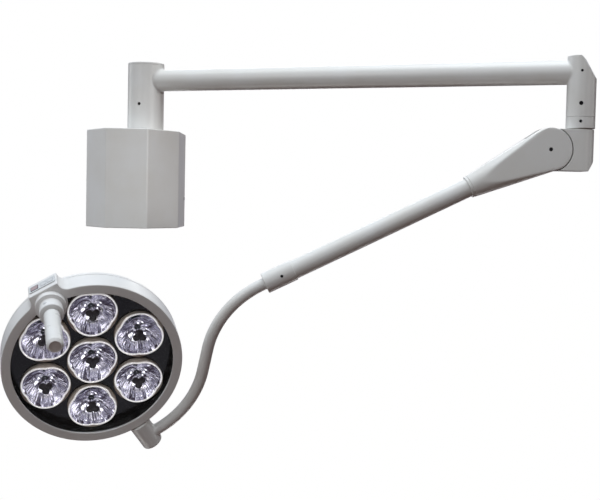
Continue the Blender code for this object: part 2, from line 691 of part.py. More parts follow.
def pod_outline():
    """The keypad pod's outline, seen from the front: a flat face that runs into the rim in two fillets."""
    corner = 0.0025
    centre_y = POD_HALF_WIDTH + POD_FILLET
    centre_x = -(RIM_RADIUS + POD_FILLET) * cos(POD_SPREAD)
    upper = arc((corner - POD_FACE, POD_HALF_WIDTH - corner), corner, pi, pi / 2, 4)
    upper += arc((centre_x, centre_y), POD_FILLET, -pi / 2, -POD_SPREAD, 6)
    lower = [(x, -y) for x, y in reversed(upper)]
    return upper + arc((0, 0), RIM_RADIUS - RIM_WALL / 2, pi - POD_SPREAD, pi + POD_SPREAD, 7) + lower


def make_rim(head):
    inner = RIM_RADIUS - RIM_WALL
    under = RIM_FRONT - RIM_LIP
    rim = [(RIM_OPENING, under), (RIM_OPENING, RIM_FRONT), (RIM_RADIUS - 0.0025, RIM_FRONT),
           (RIM_RADIUS, RIM_FRONT - 0.0025), (RIM_RADIUS, RIM_BACK), (inner, RIM_BACK), (inner, under)]
    rim = piece("rim_housing", turned(rim, 56), SHELL, head)
    turn = Matrix.Rotation(POD_TURN, 4, "Z")
    half = POD_HALF_WIDTH - RIM_WALL
    join(rim, moved(prism(pod_outline(), POD_BACK, RIM_FRONT - 0.0001), turn))
    cut(rim, moved(box((RIM_WALL - POD_FACE, -half, POD_BACK + RIM_WALL), (-0.148, half, under)), turn))
    join(rim, cylinder(0.0300, under + 0.0002, RIM_FRONT - 0.0002, (HANDLE_X, HANDLE_Y, 0), "Z", 24))
    cut(rim, cylinder(0.0104, 0.150, 0.175, (0, 0, 0), "X", 16))
    panel = box((-KEYPAD_FRONT, -0.0245, -0.0165), (-KEYPAD_BACK, 0.0255, 0.0045))
    panel = piece("keypad_panel", moved(panel, turn), MEMBRANE, head)
    for key in KEYS.values():
        cut(panel, moved(key_box(key, 0.0004, 0.170, 0.190), turn))
        cut(rim, moved(key_box(key, 0.0004, 0.170, 0.190), turn))
    shaft = [(0, 0.1575), (0.010, 0.1575), (0.010, HUB_REACH + 0.0105), (0, HUB_REACH + 0.0105)]
    piece("head_spindle", turned(shaft, 24, (0, 0, 0), "X"), STEEL, head)


# Each key's centre across the pod's face, its centre along the light's axis, and its half sizes.
KEYS = {
    "power_button": (-0.0142, -0.006, 0.0070, 0.0070),
    "brighter_button": (0.0035, -0.006, 0.0050, 0.0060),
    "dimmer_button": (0.0165, -0.006, 0.0050, 0.0060),
}
KEYPAD_BACK = POD_FACE + GAP
KEYPAD_FRONT = POD_FACE + 0.0018


def key_box(key, grow, back, front):
    y, z, half_y, half_z = key
    low = (-front, y - half_y - grow, z - half_z - grow)
    high = (-back, y + half_y + grow, z + half_z + grow)
    return box(low, high)


def make_key(name, parent):
    shape = key_box(KEYS[name], 0, POD_FACE - 0.0025, KEYPAD_FRONT + 0.0007)
    piece(name, shape, KEY if name == "power_button" else MEMBRANE, parent)


def reflector_centres():
    centres = {"reflector_centre": (0.0, 0.0)}
    names = ("lower_right", "upper_right", "top", "upper_left", "lower_left", "bottom")
    for index, name in enumerate(names):
        angle = REFLECTOR_TURN + radians(60 * index - 30)
        centres["reflector_" + name] = (REFLECTOR_PITCH * cos(angle), REFLECTOR_PITCH * sin(angle))
    return centres


def make_optics(head):
    sides = 16
    plate = piece("face_plate", cylinder(0.1570, -0.0100, -0.0080, (0, 0, 0), "Z", 40), FACE, head)
    board = piece("led_board", cylinder(0.1400, -0.0385, -0.0369, (0, 0, 0), "Z", 32), BOARD, head)
    bowl = [(0.0085, -0.0355), (0.0310, -0.0300), (REFLECTOR_RADIUS, -0.0110), (REFLECTOR_RADIUS, 0.0020),
            (0.0435, 0.0020), (0.0415, -0.0140), (0.0290, -0.0280), (0.0085, -0.0335)]
    for name, (x, y) in reflector_centres().items():
        piece(name, turned(bowl, sides, (x, y, 0)), MIRROR, head)
        opening = turned([(0, -0.02), (0.0459, -0.02), (0.0459, 0.0), (0, 0.0)], sides, (x, y, 0))
        cut(plate, opening)
        join(board, cylinder(0.006, -0.0380, -0.0310, (x, y, 0), "Z", 8))
    piece("front_lens", cylinder(0.1570, 0.0092, 0.0122, (0, 0, 0), "Z", 40), CLEAR, head)


def make_back(head):
    dish = [(0.1620, -0.0333), (0.1605, -0.0400), (0.1500, -0.0495), (0.1200, -0.0570), (0, -0.0600),
            (0, -0.0575), (0.1195, -0.0545), (0.1488, -0.0472), (0.1578, -0.0390), (0.1585, -0.0333)]
    piece("back_cover", turned(dish, 48), SHELL, head)
    fins, pitch, half = 9, 0.018, 0.080
    outline = [(-half, -0.0415), (-half, -0.0440)]
    for index in range(fins):
        y = (index - (fins - 1) / 2) * pitch
        outline += [(y - 0.0012, -0.0440), (y - 0.0012, -0.0520), (y + 0.0012, -0.0520), (y + 0.0012, -0.0440)]
    outline += [(half, -0.0440), (half, -0.0415)]
    sink = prism(outline, -half, half, "Y")
    piece("heat_sink", moved(sink, Matrix.Rotation(pi / 2, 4, "Z")), ALUMINIUM, head)


def make_handle_base(head):
    front = RIM_FRONT + GAP
    place = (HANDLE_X, HANDLE_Y, 0)
    profile = [(0, front), (FLANGE_RADIUS, front), (FLANGE_RADIUS, 0.0270), (FLANGE_RADIUS - 0.001, 0.0280),
               (COLLAR_RADIUS, 0.0320), (COLLAR_RADIUS, COLLAR_END - 0.0008), (COLLAR_RADIUS - 0.0008, COLLAR_END),
               (CORE_RADIUS, COLLAR_END), (CORE_RADIUS, 0.1290), (CORE_RADIUS - 0.001, 0.1300), (0, 0.1300)]
    base = piece("handle_base", turned(profile, 28, place), SHELL, head)
    cut(base, cylinder(0.0034, -0.030, -0.0140, (HANDLE_X, HANDLE_Y, LATCH_HEIGHT), "X", 12))


LATCH_HEIGHT = 0.0435


def make_handle(handle):
    foot = COLLAR_END + GAP
    bore = CORE_RADIUS + 0.0004
    grip = [(bore, foot), (0.0124, foot), (HANDLE_RADIUS, foot + 0.003), (HANDLE_RADIUS, HANDLE_END - 0.0045),
            (0.0096, HANDLE_END), (0, HANDLE_END), (0, 0.1325), (bore, 0.1325)]
    piece("handle", turned(grip, 28, (HANDLE_X, HANDLE_Y, 0)), GRIP, handle)


# -------------------------------------------------------------------- build


def main():
    clear_scene()
    lateral = Vector((0, 1, 0))
    wall = Matrix.Identity(4)
    arm_frame = Matrix.Translation((POST_X, POST_Y, ARM_HEIGHT)) @ Matrix.Rotation(ARM_HEADING, 4, "Z")
    elbow_place = arm_frame @ Vector((ARM_REACH, 0, -PIVOT_DROP))
    elbow_frame = Matrix.Translation(elbow_place) @ Matrix.Rotation(ELBOW_HEADING, 4, "Z")
    spring_frame = elbow_frame @ Matrix.Translation((PIVOT_REACH, 0, 0)) @ Matrix.Rotation(ARM_TILT, 4, lateral)
    yoke_frame = spring_frame @ Matrix.Translation((SLEEVE_END, 0, 0)) @ Matrix.Rotation(YOKE_TURN, 4, "X")
    head_in_yoke = hub_frame() @ Matrix.Rotation(HEAD_TURN, 4, "X") @ Matrix.Translation((-HUB_REACH, 0, 0))
    head_frame = yoke_frame @ head_in_yoke

    root = body("wall_unit", None, wall)
    arm = body("horizontal_arm", root, arm_frame)
    elbow = body("elbow", arm, elbow_frame)
    spring = body("spring_arm", elbow, spring_frame)
    slider = body("rod_slider", spring, spring_frame)
    yoke = body("yoke", spring, yoke_frame)
    head = body("lamp_head", yoke, head_frame)

    make_wall_unit(root)
    make_horizontal_arm(arm)
    make_elbow(elbow)
    make_spring_arm(spring)
    make_rod(slider)
    make_yoke(yoke, head_in_yoke)
    make_rim(head)
    make_optics(head)
    make_back(head)
    make_handle_base(head)
    for name in KEYS:
        make_key(name, body(name + "_slide", head, head_frame @ Matrix.Rotation(POD_TURN, 4, "Z")))
    make_handle(body("handle_slide", head, head_frame))
    latch = body("latch_slide", head, head_frame)
    button = cylinder(0.0030, -0.0220, -0.0160, (HANDLE_X, HANDLE_Y, LATCH_HEIGHT), "X", 12)
    piece("handle_latch", button, KEY, latch)


main()
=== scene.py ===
"""Looks of the wall-mounted dental operating light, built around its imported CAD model.

Metres, in the CAD's own frame. Every piece is modelled in its body's frame, which is worked out from
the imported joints, and then rides on that body.
"""

import json
from math import atan2, cos, hypot, pi, radians, sin, sqrt, tan

import bmesh
import bpy
from mathutils import Matrix, Vector

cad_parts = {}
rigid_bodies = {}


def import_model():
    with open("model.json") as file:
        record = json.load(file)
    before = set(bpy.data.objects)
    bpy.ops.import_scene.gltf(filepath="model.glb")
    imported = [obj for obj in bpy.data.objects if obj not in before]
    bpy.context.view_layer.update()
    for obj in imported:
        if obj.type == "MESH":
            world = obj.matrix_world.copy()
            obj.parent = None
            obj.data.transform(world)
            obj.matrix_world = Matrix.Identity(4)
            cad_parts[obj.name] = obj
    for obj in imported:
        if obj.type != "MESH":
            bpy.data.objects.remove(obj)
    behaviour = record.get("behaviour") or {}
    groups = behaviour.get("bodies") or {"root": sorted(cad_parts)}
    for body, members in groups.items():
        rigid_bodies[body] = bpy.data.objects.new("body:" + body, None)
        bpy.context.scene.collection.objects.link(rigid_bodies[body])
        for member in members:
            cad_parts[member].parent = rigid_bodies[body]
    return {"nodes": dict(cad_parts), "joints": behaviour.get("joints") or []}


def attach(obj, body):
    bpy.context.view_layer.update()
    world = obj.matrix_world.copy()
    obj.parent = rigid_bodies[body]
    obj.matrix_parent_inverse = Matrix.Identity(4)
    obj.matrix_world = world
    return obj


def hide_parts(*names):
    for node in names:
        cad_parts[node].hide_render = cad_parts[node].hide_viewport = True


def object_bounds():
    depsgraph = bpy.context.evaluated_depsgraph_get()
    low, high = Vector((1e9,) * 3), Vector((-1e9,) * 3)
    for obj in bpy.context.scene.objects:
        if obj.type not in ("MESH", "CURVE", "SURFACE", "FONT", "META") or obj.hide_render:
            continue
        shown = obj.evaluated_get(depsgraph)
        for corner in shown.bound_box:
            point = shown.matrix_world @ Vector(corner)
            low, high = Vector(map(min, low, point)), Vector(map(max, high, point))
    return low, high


for leftover in list(bpy.data.objects):
    bpy.data.objects.remove(leftover, do_unlink=True)
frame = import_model()
CAD_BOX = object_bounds()
JOINTS = {joint["name"]: joint for joint in frame["joints"]}

# Sides of a turned shape, the usual rounding of an edge, the rounding of an edge left sharp, and the
# angle from which a carved edge is rounded.
SIDES = 112
BEAD = 0.0006
SHARP = 0.00001
CREASE = radians(32)

# ------------------------------------------------------------ body frames


def axis_of(name):
    return Vector(JOINTS[name]["axis"]).normalized()


def place_of(name):
    return Vector(JOINTS[name]["pos_m"])


def frame_from(origin, x_axis, z_axis):
    x_axis = x_axis.normalized()
    y_axis = z_axis.cross(x_axis).normalized()
    z_axis = x_axis.cross(y_axis)
    turn = Matrix((x_axis, y_axis, z_axis)).transposed().to_4x4()
    return Matrix.Translation(origin) @ turn


def level(vector):
    return Vector((vector.x, vector.y, 0))


UP = Vector((0, 0, 1))
ARM_HEIGHT = 0.208
ARM_REACH = 0.9023
SLEEVE_END = 0.574

WALL = Matrix.Identity(4)
BASE = Vector((*place_of("base_swivel").xy, ARM_HEIGHT))
PIVOT = place_of("spring_arm_tilt")
ELBOW_AXIS = Vector((*place_of("elbow_swivel").xy, PIVOT.z))
ARM = frame_from(BASE, level(ELBOW_AXIS - BASE), UP)
ELBOW = frame_from(ELBOW_AXIS, level(PIVOT - ELBOW_AXIS), UP)
SPRING_X = axis_of("yoke_swivel")
SPRING = frame_from(PIVOT, SPRING_X, SPRING_X.cross(-axis_of("spring_arm_tilt")))
HEAD_X = axis_of("head_tilt")
YOKE_Z = -(HEAD_X - HEAD_X.dot(SPRING_X) * SPRING_X)
YOKE = frame_from(PIVOT + SPRING_X * SLEEVE_END, SPRING_X, YOKE_Z)
LIGHT = axis_of("handle_pull")
HEAD = frame_from(place_of("head_tilt"), HEAD_X, LIGHT)
POD = frame_from(place_of("head_tilt"), axis_of("power_press"), LIGHT)

# -------------------------------------------------------------- materials


def node(tree, kind, **values):
    made = tree.nodes.new(kind)
    for key, value in values.items():
        if key in made.inputs:
            made.inputs[key].default_value = value
        else:
            setattr(made, key, value)
    return made


def noise(tree, scale, detail=3.0, stretch=(1, 1, 1)):
    """A noise value over the piece's own coordinates, finer for a larger scale."""
    where = tree.nodes.new("ShaderNodeTexCoord")
    mapping = tree.nodes.new("ShaderNodeMapping")
    mapping.inputs["Scale"].default_value = stretch
    made = node(tree, "ShaderNodeTexNoise", Scale=scale, Detail=detail)
    tree.links.new(where.outputs["Object"], mapping.inputs["Vector"])
    tree.links.new(mapping.outputs["Vector"], made.inputs["Vector"])
    return made.outputs["Fac"]


def ramp(tree, value, low, high):
    """A colour between two others, by a value's spread round one half."""
    made = tree.nodes.new("ShaderNodeValToRGB")
    made.color_ramp.elements[0].position = 0.30
    made.color_ramp.elements[1].position = 0.70
    made.color_ramp.elements[0].color = (*low, 1.0)
    made.color_ramp.elements[1].color = (*high, 1.0)
    tree.links.new(value, made.inputs["Fac"])
    return made.outputs["Color"]


def spread(tree, value, low, high):
    made = tree.nodes.new("ShaderNodeMapRange")
    made.inputs["From Min"].default_value = 0.30
    made.inputs["From Max"].default_value = 0.70
    made.inputs["To Min"].default_value = low
    made.inputs["To Max"].default_value = high
    tree.links.new(value, made.inputs["Value"])
    return made.outputs["Result"]


def surface(name, colour, rough, metallic=0.0, shade=0.04, patch=14.0, grain=500.0, depth=0.00004,
            strength=0.25, stretch=(1, 1, 1), rough_by=0.05, coat=0.0, tint=(1.0, 0.985, 0.96), alpha=1.0,
            glow=0.0):
    """A procedural finish: patchy colour, uneven roughness, and a fine bump of the given grain."""
    made = bpy.data.materials.new(name)
    made.use_nodes = True
    tree = made.node_tree
    shader = tree.nodes["Principled BSDF"]
    shader.inputs["Metallic"].default_value = metallic
    shader.inputs["Coat Weight"].default_value = coat
    shader.inputs["Alpha"].default_value = alpha
    shader.inputs["Emission Strength"].default_value = glow
    made.cycles.emission_sampling = "NONE"
    high = tuple(min(1.0, value * (1 + shade)) for value in colour)
    low = tuple(value * (1 - shade) * by for value, by in zip(colour, tint))
    patches = noise(tree, patch, 4.0, stretch)
    tree.links.new(ramp(tree, patches, low, high), shader.inputs["Base Color"])
    fine = noise(tree, grain, 2.0, stretch)
    wear = noise(tree, patch * 4, 5.0, stretch)
    tree.links.new(spread(tree, wear, rough - rough_by, rough + rough_by), shader.inputs["Roughness"])
    bump = node(tree, "ShaderNodeBump", Strength=strength, Distance=depth)
    tree.links.new(fine, bump.inputs["Height"])
    tree.links.new(bump.outputs["Normal"], shader.inputs["Normal"])
    return made


MATERIALS = {
    "painted_white": surface("paint_powder_coat", (0.83, 0.83, 0.815), 0.36, shade=0.025, grain=400.0,
                             strength=0.15, coat=0.15),
    "head_white": surface("shell_moulded", (0.83, 0.83, 0.83), 0.34, shade=0.02, grain=900.0),
    "steel": surface("steel_turned", (0.52, 0.52, 0.54), 0.32, 1.0, stretch=(1, 1, 25), grain=120.0),
    "zinc_plated": surface("zinc_plate", (0.74, 0.75, 0.75), 0.45, 0.7, shade=0.06, patch=25.0, grain=300.0),
    "black_screw": surface("screw_blackened", (0.028, 0.027, 0.028), 0.42, 0.6, shade=0.3, patch=300.0),
    "bearing_plastic": surface("bearing_plastic", (0.70, 0.67, 0.58), 0.50, grain=1200.0),
    "bronze": surface("sintered_bronze", (0.55, 0.38, 0.19), 0.42, 1.0, shade=0.1, patch=200.0, grain=1500.0),
    "black_case": surface("case_moulded", (0.045, 0.045, 0.05), 0.58, shade=0.2, grain=1400.0, depth=0.0001),
    "circuit_board": surface("solder_mask", (0.020, 0.030, 0.035), 0.40, shade=0.25, patch=90.0, grain=700.0),
    "aluminium": surface("aluminium_extruded", (0.66, 0.66, 0.68), 0.38, 1.0, stretch=(1, 30, 1), grain=90.0),
    "black_face": surface("face_gloss_black", (0.005, 0.004, 0.004), 0.15, shade=0.35, patch=9.0, grain=260.0,
                          depth=0.00003, strength=0.12, rough_by=0.04),
    "reflector_chrome": surface("reflector_vacuum_coat", (0.88, 0.87, 0.92), 0.07, 1.0, shade=0.05,
                                patch=60.0, grain=420.0, depth=0.00003, strength=0.35, rough_by=0.03,
                                tint=(0.97, 0.97, 1.0)),
    "clear_lens": surface("lens_clear", (0.30, 0.31, 0.32), 0.06, shade=0.02, strength=0.03,
                          rough_by=0.01, alpha=0.02),
    "keypad_grey": surface("keypad_membrane", (0.66, 0.68, 0.70), 0.42, shade=0.03, grain=1800.0),
    "key_dark": surface("key_surround", (0.07, 0.06, 0.10), 0.45, shade=0.15, grain=1500.0),
    "handle_white": surface("handle_sleeve", (0.82, 0.825, 0.82), 0.30, shade=0.02, grain=1400.0,
                            depth=0.00001, strength=0.10, coat=0.1),
}
WARM_RIM = surface("reflector_collar", (0.62, 0.55, 0.49), 0.30, shade=0.06, patch=30.0, grain=900.0)
# The reflectors' front lip glows faintly: a painted highlight standing in for the light that the rolled edge
# catches.
RIM_PAINTED_HIGHLIGHT = surface("reflector_edge", (0.97, 0.95, 0.93), 0.20, 0.8, shade=0.03, patch=50.0,
                     grain=900.0, glow=0.4)
LED_DARK = surface("led_window", (0.030, 0.024, 0.028), 0.20, shade=0.4, patch=160.0, grain=900.0)
# The LED carrier's back and its emitter glow: painted light, which shows as bright reflections in the bowls.
LED_BACK_PAINTED_GLOW = surface("led_back_painted_glow", (0.36, 0.37, 0.42), 0.40, shade=0.08, patch=160.0, grain=900.0, glow=0.05)
EMITTER_PAINTED_GLOW = surface("led_emitter_painted_glow", (0.90, 0.90, 0.92), 0.35, shade=0.05, patch=160.0, grain=900.0, glow=2.5)
KEY_FACE = surface("key_face", (0.42, 0.33, 0.34), 0.40, shade=0.06, patch=90.0, grain=1500.0)
GRIP_END = surface("handle_end_grey", (0.58, 0.53, 0.51), 0.50, shade=0.10, patch=70.0, grain=1400.0)

for cad in frame["nodes"].values():
    for held in cad.material_slots:
        base = held.material.name.split(".")[0] if held.material else "painted_white"
        held.material = MATERIALS.get(base, MATERIALS["painted_white"])

# ---------------------------------------------------------------- shapes


def moved(shape, matrix):
    bmesh.ops.transform(shape, matrix=matrix, verts=shape.verts)
    return shape


def axis_matrix(axis):
    return {
        "X": Matrix.Rotation(pi / 2, 4, "Y"),
        "Y": Matrix.Rotation(-pi / 2, 4, "X"),
        "Z": Matrix.Identity(4),
    }[axis]


def shift(x=0.0, y=0.0, z=0.0):
    return Matrix.Translation((x, y, z))


def rounded(points, steps=4):
    """A closed outline whose points with a third value, a radius, become arcs."""
    result = []
    for index, point in enumerate(points):
        here = Vector(point[:2])
        if len(point) < 3:
            result.append(here)
            continue
        back = (Vector(points[index - 1][:2]) - here).normalized()
        ahead = (Vector(points[(index + 1) % len(points)][:2]) - here).normalized()
        half = back.angle(ahead) / 2
        centre = here + (back + ahead).normalized() * (point[2] / sin(half))
        start = here + back * (point[2] / tan(half)) - centre
        end = here + ahead * (point[2] / tan(half)) - centre
        total = start.angle(end)
        for step in range(steps + 1):
            share = step / steps
            arm = start * sin((1 - share) * total) + end * sin(share * total)
            result.append(centre + arm / sin(total))
    return [(point.x, point.y) for point in result]


def bridge(shape, loops, closed=False):
    """Faces between rings of vertices. A ring of one vertex is a pole."""
    pairs = list(zip(loops, loops[1:] + loops[:1] if closed else loops[1:]))
    for first, second in pairs:
        count = max(len(first), len(second))
        for index in range(count):
            after = (index + 1) % count
            if len(first) == 1:
                shape.faces.new((first[0], second[after], second[index]))
            elif len(second) == 1:
                shape.faces.new((first[index], first[after], second[0]))
            else:
                shape.faces.new((first[index], first[after], second[after], second[index]))
    return shape


def lathe(profile, sides=SIDES, centre=(0, 0, 0), axis="Z"):
    """Turns a closed profile of (radius, height[, rounding]) points."""
    shape = bmesh.new()
    loops = []
    for radius, height in rounded(profile):
        if radius < 1e-7:
            loops.append([shape.verts.new((0, 0, height))])
            continue
        steps = [2 * pi * index / sides for index in range(sides)]
        loops.append([shape.verts.new((radius * cos(turn), radius * sin(turn), height)) for turn in steps])
    kept = [loops[0]]
    for loop in loops[1:]:
        if len(loop) > 1 or len(kept[-1]) > 1:
            kept.append(loop)
    poles = len(kept[0]) == 1 and len(kept[-1]) == 1
    bridge(shape, kept, closed=not poles)
    return moved(shape, Matrix.Translation(Vector(centre)) @ axis_matrix(axis))


def inset(outline, amount):
    """An anticlockwise outline moved inwards."""
    result = []
    for index, point in enumerate(outline):
        here = Vector(point)
        before = (here - Vector(outline[index - 1])).normalized()
        after = (Vector(outline[(index + 1) % len(outline)]) - here).normalized()
        first, second = Vector((-before.y, before.x)), Vector((-after.y, after.x))
        result.append(tuple(here + (first + second) * (amount / (1 + first.dot(second)))))
    return result


def slab(outline, low, high, edge=BEAD, steps=3, axis="Z"):
    """Extrudes an anticlockwise outline, with both end edges rounded."""
    levels = []
    for step in range(steps + 1):
        turn = pi / 2 * step / steps
        levels.append((edge * (1 - sin(turn)), low + edge * (1 - cos(turn))))
    levels += [(back, high - (rise - low)) for back, rise in reversed(levels)]
    shape = bmesh.new()
    loops = []
    for back, height in levels:
        loops.append([shape.verts.new((x, y, height)) for x, y in inset(outline, back)])
    bridge(shape, loops)
    shape.faces.new(list(reversed(loops[0])))
    shape.faces.new(loops[-1])
    if axis == "Y":
        moved(shape, Matrix.Rotation(pi / 2, 4, "X") @ Matrix.Scale(-1, 4, (0, 0, 1)))
    return shape


def rectangle(half_x, half_y, corner, x=0.0, y=0.0):
    corners = [(-1, -1), (1, -1), (1, 1), (-1, 1)]
    return rounded([(x + sx * half_x, y + sy * half_y, corner) for sx, sy in corners])


def disc(radius, x=0.0, y=0.0, sides=SIDES):
    turns = [2 * pi * index / sides for index in range(sides)]
    return [(x + radius * cos(turn), y + radius * sin(turn)) for turn in turns]


def rod(radius, low, high, centre=(0, 0, 0), axis="Z", sides=SIDES):
    shape = slab(disc(radius, sides=sides), low, high, SHARP, 1)
    return moved(shape, Matrix.Translation(Vector(centre)) @ axis_matrix(axis))


def joined(*shapes):
    """One mesh that holds several shells."""
    whole = bmesh.new()
    for shape in shapes:
        mesh = bpy.data.meshes.new("shell")
        shape.to_mesh(mesh)
        shape.free()
        whole.from_mesh(mesh)
        bpy.data.meshes.remove(mesh)
    return whole


def helper(shape):
    bmesh.ops.recalc_face_normals(shape, faces=shape.faces)
    mesh = bpy.data.meshes.new("helper")
    shape.to_mesh(mesh)
    shape.free()
    made = bpy.data.objects.new("helper", mesh)
    bpy.context.scene.collection.objects.link(made)
    return made


def carved(shape, *cutters, edge=0.0):
    """The shape without the cutters, with its sharp edges rounded by edge."""
    base = helper(shape)
    tools = [helper(cutter) for cutter in cutters]
    for tool in tools:
        modifier = base.modifiers.new("cut", "BOOLEAN")
        modifier.operation = "DIFFERENCE"
        modifier.solver = "EXACT"
        modifier.object = tool
    if edge:
        modifier = base.modifiers.new("edge", "BEVEL")
        modifier.width = edge
        modifier.segments = 3
        modifier.limit_method = "ANGLE"
        modifier.angle_limit = CREASE
    graph = bpy.context.evaluated_depsgraph_get()
    mesh = bpy.data.meshes.new_from_object(base.evaluated_get(graph))
    result = bmesh.new()
    result.from_mesh(mesh)
    bpy.data.meshes.remove(mesh)
    for used in (base, *tools):
        bpy.data.meshes.remove(used.data)
    bmesh.ops.dissolve_degenerate(result, dist=1e-7, edges=result.edges)
    return result


def piece(name, shape, place, finish, body, stands_for=(), sharp=38.0, paint=()):
    """A visible piece of the lamp, in place and riding on its body."""
    bmesh.ops.recalc_face_normals(shape, faces=shape.faces)
    mesh = bpy.data.meshes.new(name)
    shape.to_mesh(mesh)
    shape.free()
    mesh.transform(place)
    mesh.shade_smooth()
    mesh.set_sharp_from_angle(angle=radians(sharp))
    mesh.materials.append(MATERIALS[finish])
    for extra in paint:
        mesh.materials.append(extra)
    made = bpy.data.objects.new(name, mesh)
    bpy.context.scene.collection.objects.link(made)
    weighted = made.modifiers.new("normals", "WEIGHTED_NORMAL")
    weighted.keep_sharp = True
    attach(made, body)
    if stands_for:
        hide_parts(*stands_for)
    return made


def stand_in(name, shape, place, finish, body, **more):
    """A piece that takes the place of the CAD node of that name."""
    return piece(name + "_look", shape, place, finish, body, [name], **more)


def weld(main, branch, width):
    """The fillet where a branch tube, along +X, meets a main tube round Z."""
    shape = bmesh.new()
    loops = []
    for step in range(7):
        share = step / 6
        loop = []
        for index in range(SIDES):
            turn = 2 * pi * index / SIDES
            across, rise = sin(turn), cos(turn)
            corner = Vector((sqrt(main**2 - (branch * across) ** 2), branch * across, branch * rise))
            on_tube = corner + Vector((width, 0, 0))
            wide = branch + width
            on_main = Vector((sqrt(max(main**2 - (wide * across) ** 2, 1e-8)), wide * across, wide * rise))
            first, second = on_tube.lerp(corner, share), corner.lerp(on_main, share)
            loop.append(shape.verts.new(first.lerp(second, share)))
        loops.append(loop)
    inner = [shape.verts.new(vert.co - Vector((0.0035, 0, 0))) for vert in loops[-1]]
    deep = []
    for vert in loops[0]:
        deep.append(shape.verts.new((vert.co.x - width - 0.003, vert.co.y * 0.94, vert.co.z * 0.94)))
    return bridge(shape, [*loops, inner, deep], closed=True)


def set_screw(radius, low, high, heading=0.0, height=0.0):
    """A small screw along X, with a hexagonal socket in its outer end."""
    body = lathe([(0, low), (radius, low), (radius, high, 0.0003), (0, high)], 40)
    socket = slab(disc(radius * 0.52, sides=6), high - radius * 0.6, high + 0.002, SHARP, 1)
    turn = shift(z=height) @ Matrix.Rotation(heading, 4, "Z") @ axis_matrix("X")
    return moved(carved(body, socket), turn)


def screw_hole(radius, low, high, heading=0.0, height=0.0, centre=(0, 0, 0)):
    turn = Matrix.Translation(centre) @ shift(z=height) @ Matrix.Rotation(heading, 4, "Z")
    return moved(rod(radius, low, high, axis="X", sides=48), turn)


# -------------------------------------------------------------- wall unit

COVER_HALF_WIDTH, COVER_FRONT_HALF, COVER_HALF_HEIGHT = 0.0985, 0.0435, 0.103
POST_PLACE = (0.027, -0.135, 0.0)
SHEET = 0.002
TRIM_SCREW_Y, TRIM_SCREW_Z = -0.018, -0.040
PLATE_HALF_WIDTH, PLATE_HALF_HEIGHT, PLATE_THICKNESS = 0.0955, 0.0995, 0.006
FIXING_X, FIXING_Z = 0.070, 0.075
GLAND_X, GLAND_Z = 0.060, -0.030


def cover_outline(back, corner, shrink=0.0):
    half, front, side = COVER_HALF_WIDTH, 0.215, 0.130
    outline = [
        (-half, back), (-half, -side, corner), (-COVER_FRONT_HALF, -front, corner),
        (COVER_FRONT_HALF, -front, corner), (half, -side, corner), (half, back),
    ]
    points = rounded(outline, 6)
    return inset(points, shrink) if shrink else points


def make_wall_unit():
    shell = slab(cover_outline(-0.001, 0.006), -COVER_HALF_HEIGHT, COVER_HALF_HEIGHT, 0.0018, 5)
    hollow = slab(cover_outline(0.030, 0.006, SHEET), SHEET - COVER_HALF_HEIGHT, COVER_HALF_HEIGHT - SHEET,
                  0.0008)
    hole = rod(0.0395, 0.06, 0.14, POST_PLACE)
    trims = [screw_hole(0.0025, 0.09, 0.11, pi * turn, TRIM_SCREW_Z, (0, TRIM_SCREW_Y, 0)) for turn in (0, 1)]
    stand_in("housing_cover", carved(shell, hollow, hole, *trims), WALL, "painted_white", "wall_unit")
    for turn, side in ((0, "right"), (1, "left")):
        head = [(0, 0.0925), (0.0022, 0.0925), (0.0022, 0.0988), (0.0042, 0.0988, 0.0003),
                (0.0034, 0.1004, 0.0008), (0, 0.1004)]
        socket = slab(disc(0.0016, sides=6), 0.0990, 0.102, SHARP, 1)
        bolt = moved(carved(lathe(head, 48), socket), axis_matrix("X"))
        bolt = moved(bolt, shift(0, TRIM_SCREW_Y, TRIM_SCREW_Z) @ Matrix.Rotation(pi * turn, 4, "Z"))
        stand_in(f"cover_screw_{side}", bolt, WALL, "steel", "wall_unit")
    plate = slab(rectangle(PLATE_HALF_WIDTH, PLATE_HALF_HEIGHT, 0.006), 0.0, PLATE_THICKNESS, 0.0007)
    holes = []
    for x in (-FIXING_X, FIXING_X):
        for z in (-FIXING_Z, FIXING_Z):
            holes.append(slab(disc(0.00425, x, z, 48), -0.01, 0.02, SHARP, 1))
    holes.append(slab(disc(0.0100, GLAND_X, GLAND_Z, 64), -0.01, 0.02, SHARP, 1))
    plate = carved(plate, *holes, edge=0.0004)
    back_turn = Matrix(((-1, 0, 0, 0), (0, 0, -1, 0), (0, 1, 0, 0), (0, 0, 0, 1)))
    stand_in("wall_plate", plate, back_turn, "zinc_plated", "wall_unit")
    gland = [(0.0045, -0.004), (0.0097, -0.004, 0.0003), (0.0097, 0.0063), (0.0134, 0.0063, 0.0005),
             (0.0134, 0.0110, 0.0005), (0.0090, 0.0200, 0.0012), (0.0045, 0.0200)]
    gland = moved(lathe(gland, 64), shift(-GLAND_X, 0, GLAND_Z) @ Matrix.Rotation(pi / 2, 4, "X"))
    stand_in("cable_gland", gland, WALL, "black_case", "wall_unit")


# --------------------------------------------------------- horizontal arm

POST_RADIUS, ARM_RADIUS, HEAD_RADIUS = 0.038, 0.0225, 0.0265
HEAD_TOP, HEAD_FOOT = 0.0290, -0.0822
HEAD_CENTRE = (ARM_REACH, 0, 0)
ARM_HEADING = atan2(ARM[1][0], ARM[0][0])
POST_BORE, POST_FOOT, POST_TOP, CAP_TOP = 0.034, -0.1643, 0.0320, 0.0365
ARM_BORE, ARM_END = 0.020, ARM_REACH - 0.0135
RING_TOP, RING_FOOT = HEAD_FOOT - 0.0003, -0.1035
STOP_SCREW_FACING, STOP_SCREW_Z = radians(-104), -0.051
ELBOW_SCREW_FACING, UPPER_SCREW_Z, LOWER_SCREW_Z, RING_SCREW_Z = radians(-103), 0.0008, -0.0581, -0.0908


